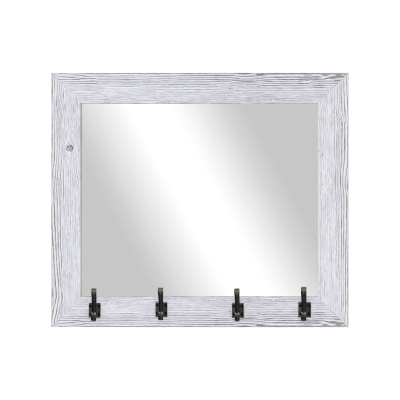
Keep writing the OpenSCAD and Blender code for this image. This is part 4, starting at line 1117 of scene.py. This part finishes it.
    # worn places that also carry painted highlights: the upper tip in a wedge, both corners and the middle of the lower
    # tip, the lower prong's front face, a thin painted highlight line down the strap, and painted light on the plate
    # beside the strap; all stronger where the surface faces forward
    x, y, z = (co[:, 0] + 0.5 + lean) / size, co[:, 1], co[:, 2] / size
    facing = smoothstep(-no[:, 1], 0.2, 0.7)
    high = smoothstep(z, 43.6, 47.6) * (1 - 0.62 * smoothstep(z, 51.0, 53.4))
    half = 0.6 + 4.6 * np.clip((z - 37.5) / 8.0, 0, 1)
    wedge = smoothstep(z, 36.0, 42.5) * (1 - smoothstep(z, 43.0, 48.0)) * (1 - smoothstep(np.abs(x), half * 0.5, half + 0.6))
    crest = smoothstep(z, 52.9, 54.2) * np.clip(0.78 + 0.25 * noise2(x / 4.0, 0.5, seed + 9), 0, 1)
    tip = smoothstep(z, -13.5, -11.0) * (y < -23) * (z < 5)
    # painted highlights on worn metal: the lower tip's two corners
    corner = np.exp(-(((np.abs(x) - 3.6) / 2.6) ** 4) - ((z + 10.8 - 0.85 * np.abs(x)) / 3.4) ** 2) * tip
    corner = corner * np.where(x < 0, tip_corner_wear_and_highlight[0], tip_corner_wear_and_highlight[1])
    middle = 0.55 * np.exp(-((x / 2.0) ** 2) - ((z + 10.0) / 2.0) ** 2) * tip
    brow = 0.10 * smoothstep(z, -22.0, -15.0) * (1 - smoothstep(z, -12.5, -10.5)) * (y < -22)
    line = np.exp(-((x / 1.3) ** 2)) * 0.10 * (y < -6) * (z < 40) * (1 - smoothstep(z, -14, -10) * (y < -23))
    well = np.exp(-((np.hypot(np.abs(x - 0.5) - 10.6, np.abs(z) - 10.3) / 4.2) ** 4))
    flat = 0.17 * (y > -4.2) * (1 - smoothstep(np.abs(x), 8.5, 13.5)) * (1 - well)
    wear_and_highlight = np.maximum.reduce([high * 0.68, wedge * 0.47, corner, middle, brow, line, flat])
    wear_and_highlight = wear_and_highlight * (0.25 + 0.75 * np.where(y > -4.2, 1.0, facing)) * (0.75 + 0.5 * dent)
    wear_and_highlight = np.maximum(wear_and_highlight, crest)
    # painted highlight: a gold glint along the crest of the upper tip
    gold_highlight = crest * np.exp(-(((x - glint[0]) / glint[1]) ** 2)) * glint[2]
    # painted highlight tint: the lower tip's right side turns rosy
    rosy_highlight = tip * smoothstep(x, -2.5, 1.0) * rose
    # painted light on the plate's left half, painted shade on its right half
    plate_left_light = (y > -4.2) * (1 - smoothstep(x, -6.0, 2.0))
    plate_right_shade = (y > -4.2) * smoothstep(x, -2.0, 6.0)
    bluish = (y > -4.2) * smoothstep(np.maximum(np.abs(x) - 12.6, np.abs(z) - 15.6), 0.0, 1.4)
    # the strap's patina is a little darker everywhere; painted shade makes it nearly black along its left edge and
    # darker on its foot and neck
    patina_and_shade = 0.12 + 0.75 * smoothstep(-x, 0.8, 3.6) + 0.30 * smoothstep(z, -8.0, 0.0) * (1 - smoothstep(z, 18.0, 26.0))
    patina_and_shade = (y <= -4.2) * np.clip(patina_and_shade, 0, 1) * (1 - tip * smoothstep(z, -16.0, -12.0))
    ca, sa = math.cos(math.radians(turn)), math.sin(math.radians(turn))
    x = co[:, 0] * ca + co[:, 2] * sa
    z = -co[:, 0] * sa + co[:, 2] * ca
    out = np.stack([x + x0, co[:, 1] + Y_FRONT, z + z0], 1) / 1000
    for key, val in (("wear_and_highlight", np.clip(wear_and_highlight, 0, 1)), ("bluish", bluish), ("gold_highlight", gold_highlight), ("rosy_highlight", rosy_highlight), ("plate_left_light", plate_left_light), ("plate_right_shade", plate_right_shade), ("patina_and_shade", patina_and_shade)):
        at = me.attributes.new(key, "FLOAT", "POINT")
        at.data.foreach_set("value", val.astype(np.float32))
    at = me.attributes.new("local", "FLOAT_VECTOR", "POINT")
    at.data.foreach_set("vector", (co / 1000).astype(np.float32).ravel())
    me.vertices.foreach_set("co", out.astype(np.float32).ravel())
    me.update()
    ob = bpy.data.objects.new(name, me)
    scene.collection.objects.link(ob)
    for p in me.polygons:
        p.use_smooth = True
    return ob


def bronze_material():
    mat, n, bsdf = material("Oiled_bronze", (0.03, 0.028, 0.024))
    p = n.attr("local", "Vector")
    wear_and_highlight = n.attr("wear_and_highlight")
    mottle = n.noise(p, 260, 4, 0.6)
    grit = n.noise(p, 1900, 3, 0.6)
    patch = n.noise(p, 95, 3, 0.5)
    dark = n.mix(n.remap(mottle, 0.35, 0.65), (0.012, 0.0112, 0.0096), (0.028, 0.0255, 0.021))
    dark = n.mix(n.remap(patch, 0.5, 0.7, 0, 0.5), dark, (0.022, 0.022, 0.025))
    dark = n.mix(n.attr("bluish"), dark, (0.030, 0.029, 0.038))
    # painted shade on the strap's left edge, foot and neck, with its slightly darker patina
    dark = n.mix(n.attr("patina_and_shade"), dark, (0.0035, 0.0035, 0.0032))
    light = n.mix(n.remap(mottle, 0.3, 0.7), (0.19, 0.175, 0.155), (0.33, 0.305, 0.27))
    # painted highlights: gold along the upper tip's crest, rosy on the lower tip's right corner
    light = n.mix(n.attr("gold_highlight"), light, (0.50, 0.36, 0.14))
    light = n.mix(n.math("MULTIPLY", n.attr("rosy_highlight"), 0.7), light, (0.36, 0.285, 0.29))
    # the wear and its painted highlights break up in the casting's grain, and the wear follows the raised edges
    geo = n.new("ShaderNodeNewGeometry")
    edge = n.remap(geo.outputs["Pointiness"], 0.52, 0.60, 0.0, 0.22, smooth=True)
    w = n.math("ADD", wear_and_highlight, n.math("MULTIPLY", edge, n.remap(patch, 0.35, 0.6, 0.2, 1.0)))
    w = n.math("MULTIPLY", w, n.remap(grit, 0.25, 0.6, 0.55, 1.1), clamp=True)
    col = n.mix(w, dark, light)
    # painted light on the plate's left half, painted shade on its right half
    col = n.mix(n.math("MULTIPLY", n.attr("plate_left_light"), 0.42), col, (0.078, 0.082, 0.090))
    col = n.mix(n.math("MULTIPLY", n.attr("plate_right_shade"), 0.42), col, (0.022, 0.018, 0.017))
    n.link(col, bsdf.inputs["Base Color"])
    bsdf.inputs["Metallic"].default_value = 0.85
    n.link(n.mixf(w, n.remap(mottle, 0.3, 0.7, 0.36, 0.52), 0.40), bsdf.inputs["Roughness"])
    bump(n, bsdf, n.math("ADD", grit, n.math("MULTIPLY", mottle, 1.5)), 0.35, 0.0002)
    return mat


bronze = bronze_material()
hook_x = (-265.0, -96.5, 96.5, 265.0)
hook_z = (-449.1, -447.2, -449.3, -447.6)
hook_turn = (0.8, 0.0, -0.4, 0.0)
# a painted gold highlight on the crest (place, half width, strength), the painted highlights on the lower tip's two
# worn corners, how rosy those highlights are; then what the castings differ by: the prongs' lean, more width of the
# strap and at its tip, how far the strap's foot on the plate and its lower bend are set to the side, the size, the
# plate's width and its set
hook_wear_highlight_and_shape = (
    ((3.6, 2.6, 1.0), (0.90, 1.20), 1.0, 0.3, 0.8, 0.6, -0.8, -0.9, 1.0, 29.9, -0.1),
    ((0.5, 4.0, 0.55), (0.78, 1.30), 0.15, 0.25, 0.2, 2.0, -0.4, -0.5, 1.0, 30.2, 0.0),
    ((-2.6, 3.0, 0.8), (1.03, 1.30), 0.6, 0.5, 0.3, 1.6, -0.3, -0.4, 1.0, 29.7, 0.0),
    ((-0.8, 1.6, 0.7), (0.88, 1.28), 0.0, 1.1, 0.6, 1.2, -0.3, -0.5, 1.045, 31.9, -0.3),
)
hooks = []
for i in range(4):
    ob = make_hook(f"Cast_double_hook_{i + 1}", hook_x[i], hook_z[i], hook_turn[i], 500 + 37 * i, *hook_wear_highlight_and_shape[i])
    ob.data.materials.append(bronze)
    ob.visible_glossy = ob.visible_shadow = False
    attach(ob, "frame")
    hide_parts(f"coat_hook_{i + 1}")
    hooks.append(ob)


# ---------------------------------------------------------------- materials of the carried-over pieces
def metal(name, a, b, rough, scale, metallic=1.0, strength=0.2, spec=None):
    mat, n, bsdf = material(name, a)
    tc = n.new("ShaderNodeTexCoord").outputs["Object"]
    big, small = n.noise(tc, scale, 3, 0.55), n.noise(tc, scale * 9, 3, 0.6)
    n.link(n.mix(n.remap(big, 0.35, 0.65), a, b), bsdf.inputs["Base Color"])
    n.link(n.remap(small, 0.3, 0.7, rough[0], rough[1]), bsdf.inputs["Roughness"])
    bsdf.inputs["Metallic"].default_value = metallic
    if spec is not None:
        bsdf.inputs["Specular IOR Level"].default_value = spec
    bump(n, bsdf, n.math("ADD", big, n.math("MULTIPLY", small, 0.5)), strength, 0.0002)
    return mat


# black screws, darker than any paint: painted shade of the screw holes they sit in
screw_black_and_hole_shade = metal("Black_screw_and_hole_shade", (0.0008, 0.0008, 0.0010), (0.0030, 0.0028, 0.0028), (0.42, 0.6), 300, 0.0, spec=0.04)
zinc = metal("Zinc_plate", (0.56, 0.57, 0.58), (0.70, 0.70, 0.70), (0.24, 0.42), 140)
steel = metal("Bright_steel", (0.60, 0.60, 0.59), (0.50, 0.50, 0.50), (0.18, 0.32), 200)
points_steel = metal("Glazier_steel", (0.42, 0.42, 0.43), (0.55, 0.55, 0.55), (0.3, 0.5), 90)


def board_material():
    mat, n, bsdf = material("Hardboard", (0.25, 0.15, 0.08))
    tc = n.new("ShaderNodeTexCoord").outputs["Object"]
    fleck = n.noise(tc, 420, 5, 0.7, 0.8)
    cloud = n.noise(tc, 22, 4, 0.55)
    mesh = n.voronoi(n.scaled(tc, (1, 1, 1)), 620)
    c = n.ramp(fleck, [(0.25, (0.13, 0.072, 0.036)), (0.5, (0.235, 0.14, 0.075)), (0.8, (0.35, 0.23, 0.135))])
    c = n.mix(n.remap(cloud, 0.35, 0.7, 0, 0.35), c, (0.17, 0.10, 0.058))
    n.link(c, bsdf.inputs["Base Color"])
    n.link(n.remap(fleck, 0.3, 0.7, 0.6, 0.8), bsdf.inputs["Roughness"])
    bump(n, bsdf, n.math("ADD", mesh, fleck), 0.4, 0.0003)
    return mat


def rubber_material():
    mat, n, bsdf = material("Clear_rubber", (0.72, 0.73, 0.72))
    tc = n.new("ShaderNodeTexCoord").outputs["Object"]
    cloud = n.noise(tc, 240, 3, 0.5)
    n.link(n.mix(cloud, (0.62, 0.63, 0.61), (0.78, 0.79, 0.77)), bsdf.inputs["Base Color"])
    n.link(n.remap(cloud, 0.3, 0.7, 0.28, 0.42), bsdf.inputs["Roughness"])
    bsdf.inputs["Subsurface Weight"].default_value = 0.25
    bsdf.inputs["Subsurface Radius"].default_value = (0.004, 0.004, 0.004)
    bsdf.inputs["Coat Weight"].default_value = 0.3
    bump(n, bsdf, cloud, 0.1, 0.0002)
    return mat


def paint_cad(node, mat):
    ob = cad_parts[node]
    if not ob.material_slots:
        ob.data.materials.append(mat)
    for sl in ob.material_slots:
        sl.material = mat


board_mat, rubber = board_material(), rubber_material()
for i in range(1, 5):
    paint_cad(f"hook_screws_{i}", screw_black_and_hole_shade)
    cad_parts[f"hook_screws_{i}"].visible_glossy = False
for side in ("left", "right"):
    paint_cad(f"hanger_strap_{side}", zinc)
    paint_cad(f"d_ring_{side}", steel)
    paint_cad(f"hanger_screws_{side}", zinc)
    paint_cad(f"wall_bumper_{side}", rubber)
for side in ("top", "bottom", "left", "right"):
    paint_cad(f"glazing_points_{side}", points_steel)
paint_cad("corner_v_nails", points_steel)
paint_cad("backing_board", board_mat)


# ---------------------------------------------------------------- the mirror
def mirror_piece():
    lo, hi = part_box("mirror_glass")
    bm = bmesh.new()
    bmesh.ops.create_cube(bm, size=1.0)
    c, d = (lo + hi) / 2, hi - lo
    for v in bm.verts:
        v.co = Vector((c.x + v.co.x * d.x, c.y + v.co.y * d.y, c.z + v.co.z * d.z))
    arris = [e for e in bm.edges if abs(e.verts[0].co.y - e.verts[1].co.y) < 1e-6]
    bmesh.ops.bevel(bm, geom=arris, offset=0.0005, segments=1, affect="EDGES")
    bmesh.ops.recalc_face_normals(bm, faces=bm.faces)
    me = bpy.data.meshes.new("Silvered_glass")
    bm.to_mesh(me)
    bm.free()
    ob = bpy.data.objects.new("Silvered_glass", me)
    scene.collection.objects.link(ob)

    silver, n, bsdf = material("Silvered_face", (0.9, 0.92, 0.92))
    tc = n.new("ShaderNodeTexCoord").outputs["Object"]
    smear = n.noise(n.scaled(tc, (3.0, 1.0, 7.0)), 1.0, 4, 0.6)
    n.link(n.mix(n.remap(smear, 0.3, 0.7), (0.962, 0.962, 0.960), (0.970, 0.970, 0.968)), bsdf.inputs["Base Color"])
    bsdf.inputs["Metallic"].default_value = 1.0
    n.link(n.remap(smear, 0.3, 0.7, 0.0, 0.012), bsdf.inputs["Roughness"])

    edge, n, bsdf = material("Glass_edge", (0.25, 0.42, 0.36))
    tc = n.new("ShaderNodeTexCoord").outputs["Object"]
    chip = n.noise(tc, 900, 3, 0.6)
    n.link(n.mix(chip, (0.16, 0.34, 0.28), (0.38, 0.55, 0.48)), bsdf.inputs["Base Color"])
    n.link(n.remap(chip, 0.3, 0.7, 0.12, 0.4), bsdf.inputs["Roughness"])

    paint, n, bsdf = material("Mirror_back_paint", (0.3, 0.31, 0.32))
    tc = n.new("ShaderNodeTexCoord").outputs["Object"]
    orange = n.noise(tc, 500, 3, 0.6)
    n.link(n.mix(orange, (0.26, 0.27, 0.28), (0.34, 0.35, 0.36)), bsdf.inputs["Base Color"])
    bsdf.inputs["Roughness"].default_value = 0.5
    for m_ in (silver, edge, paint):
        me.materials.append(m_)
    for p in me.polygons:
        p.material_index = 0 if p.normal.y < -0.9 else 2 if p.normal.y > 0.9 else 1
    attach(ob, "frame")
    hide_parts("mirror_glass")
    return ob


mirror_piece()


# ---------------------------------------------------------------- light, floor and reflection card
def make_world():
    world = bpy.data.worlds.new("studio")
    scene.world = world
    world.use_nodes = True
    t = world.node_tree
    t.nodes.clear()
    n = Nodes(t)
    out = n.new("ShaderNodeOutputWorld")
    path = n.new("ShaderNodeLightPath")
    tc = n.new("ShaderNodeTexCoord").outputs["Generated"]
    sep = n.new("ShaderNodeSeparateXYZ")
    n.link(tc, sep.inputs[0])
    # paler above than below
    up = n.remap(sep.outputs[2], -0.6, 0.75, 0.0, 1.0, smooth=True)
    room = n.new("ShaderNodeBackground")
    n.link(n.mix(up, (0.50, 0.505, 0.52), (0.84, 0.85, 0.87)), room.inputs["Color"])
    room.inputs["Strength"].default_value = 0.72
    seen = n.new("ShaderNodeBackground")
    seen.inputs["Color"].default_value = (1, 1, 1, 1)
    seen.inputs["Strength"].default_value = 1.02
    mix = n.new("ShaderNodeMixShader")
    n.link(path.outputs["Is Camera Ray"], mix.inputs[0])
    n.link(room.outputs[0], mix.inputs[1])
    n.link(seen.outputs[0], mix.inputs[2])
    n.link(mix.outputs[0], out.inputs[0])


def area(name, at, aim, size, power, color=(1, 1, 1)):
    data = bpy.data.lights.new(name, "AREA")
    data.shape = "RECTANGLE"
    data.size, data.size_y = size
    data.energy = power
    data.color = color
    ob = bpy.data.objects.new(name, data)
    scene.collection.objects.link(ob)
    ob.location = at
    ob.rotation_mode = "QUATERNION"
    ob.rotation_quaternion = (Vector(aim) - Vector(at)).to_track_quat("-Z", "Y")
    return ob


make_world()
area("key", (-1.9, -2.6, 1.3), (0, 0, -0.17), (1.6, 1.6), 46)
area("fill", (2.6, -2.4, -1.3), (0, 0, -0.17), (2.0, 2.0), 46)
area("rim", (1.2, 2.6, 1.6), (0, 0, -0.17), (1.8, 1.8), 40)


def make_floor():
    bm = bmesh.new()
    bmesh.ops.create_circle(bm, cap_ends=True, segments=96, radius=1.05)
    me = bpy.data.meshes.new("floor")
    bm.to_mesh(me)
    bm.free()
    ob = bpy.data.objects.new("floor", me)
    scene.collection.objects.link(ob)
    ob.location = (0, -0.3, -1.62)
    mat, n, bsdf = material("Pale_floor", (0.9, 0.9, 0.9))
    tc = n.new("ShaderNodeTexCoord").outputs["Object"]
    n.link(n.mix(n.noise(tc, 6, 4, 0.5), (0.86, 0.86, 0.86), (0.92, 0.92, 0.915)), bsdf.inputs["Base Color"])
    bsdf.inputs["Roughness"].default_value = 0.7
    me.materials.append(mat)


def make_card():
    """A pale card in front, seen only in reflections: a white band that runs down to the right, grey to both sides."""
    me = bpy.data.meshes.new("reflection_card")
    x, z0, z1 = 7.0, -3.6, 3.4
    me.from_pydata([(-x, 0, z0), (x, 0, z0), (x, 0, z1), (-x, 0, z1)], [], [(0, 1, 2, 3)])
    ob = bpy.data.objects.new("reflection_card", me)
    scene.collection.objects.link(ob)
    ob.location = (0, -3.03, 0)
    ob.visible_camera = ob.visible_diffuse = ob.visible_shadow = ob.visible_transmission = False
    ob.visible_volume_scatter = False
    mat = bpy.data.materials.new("Card_glow")
    mat.use_nodes = True
    mat.node_tree.nodes.clear()
    n = Nodes(mat.node_tree)
    out = n.new("ShaderNodeOutputMaterial")
    em = n.new("ShaderNodeEmission")
    n.link(em.outputs[0], out.inputs[0])
    tc = n.new("ShaderNodeTexCoord").outputs["Object"]
    sep = n.new("ShaderNodeSeparateXYZ")
    n.link(tc, sep.inputs[0])
    # the mirror's middle is seen reflected at this point of the card, 1.15 times enlarged
    k = 1.15 * UNIT / 1000
    cx, cz = -3.0 * math.tan(AZIMUTH), Z_MID / 1000
    px = n.math("DIVIDE", n.math("SUBTRACT", sep.outputs[0], cx), k)
    pz = n.math("DIVIDE", n.math("SUBTRACT", sep.outputs[2], cz), k)
    t = n.math("ADD", n.math("SUBTRACT", px, 0.6), n.math("MULTIPLY", pz, 0.540))
    a = n.math("ABSOLUTE", t)
    # further bands for other directions, far outside the first
    a = n.remap(n.math("PINGPONG", a, 260.0), 0.0, 110.0)
    # the band fades a little faster on its right
    near = n.ramp(a, [(p, (q, q, q)) for p, q in ((0.175, 1.0), (0.362, 0.866), (0.752, 0.611), (0.884, 0.558), (1.0, 0.558))])
    away = n.ramp(a, [(p, (q, q, q)) for p, q in ((0.134, 1.0), (0.300, 0.909), (0.668, 0.646), (0.861, 0.558), (1.0, 0.558))])
    level = n.mix(n.math("GREATER_THAN", t, 0.0), near, away)
    n.link(level, em.inputs["Color"])
    em.inputs["Strength"].default_value = 1.06
    me.materials.append(mat)


make_floor()
make_card()
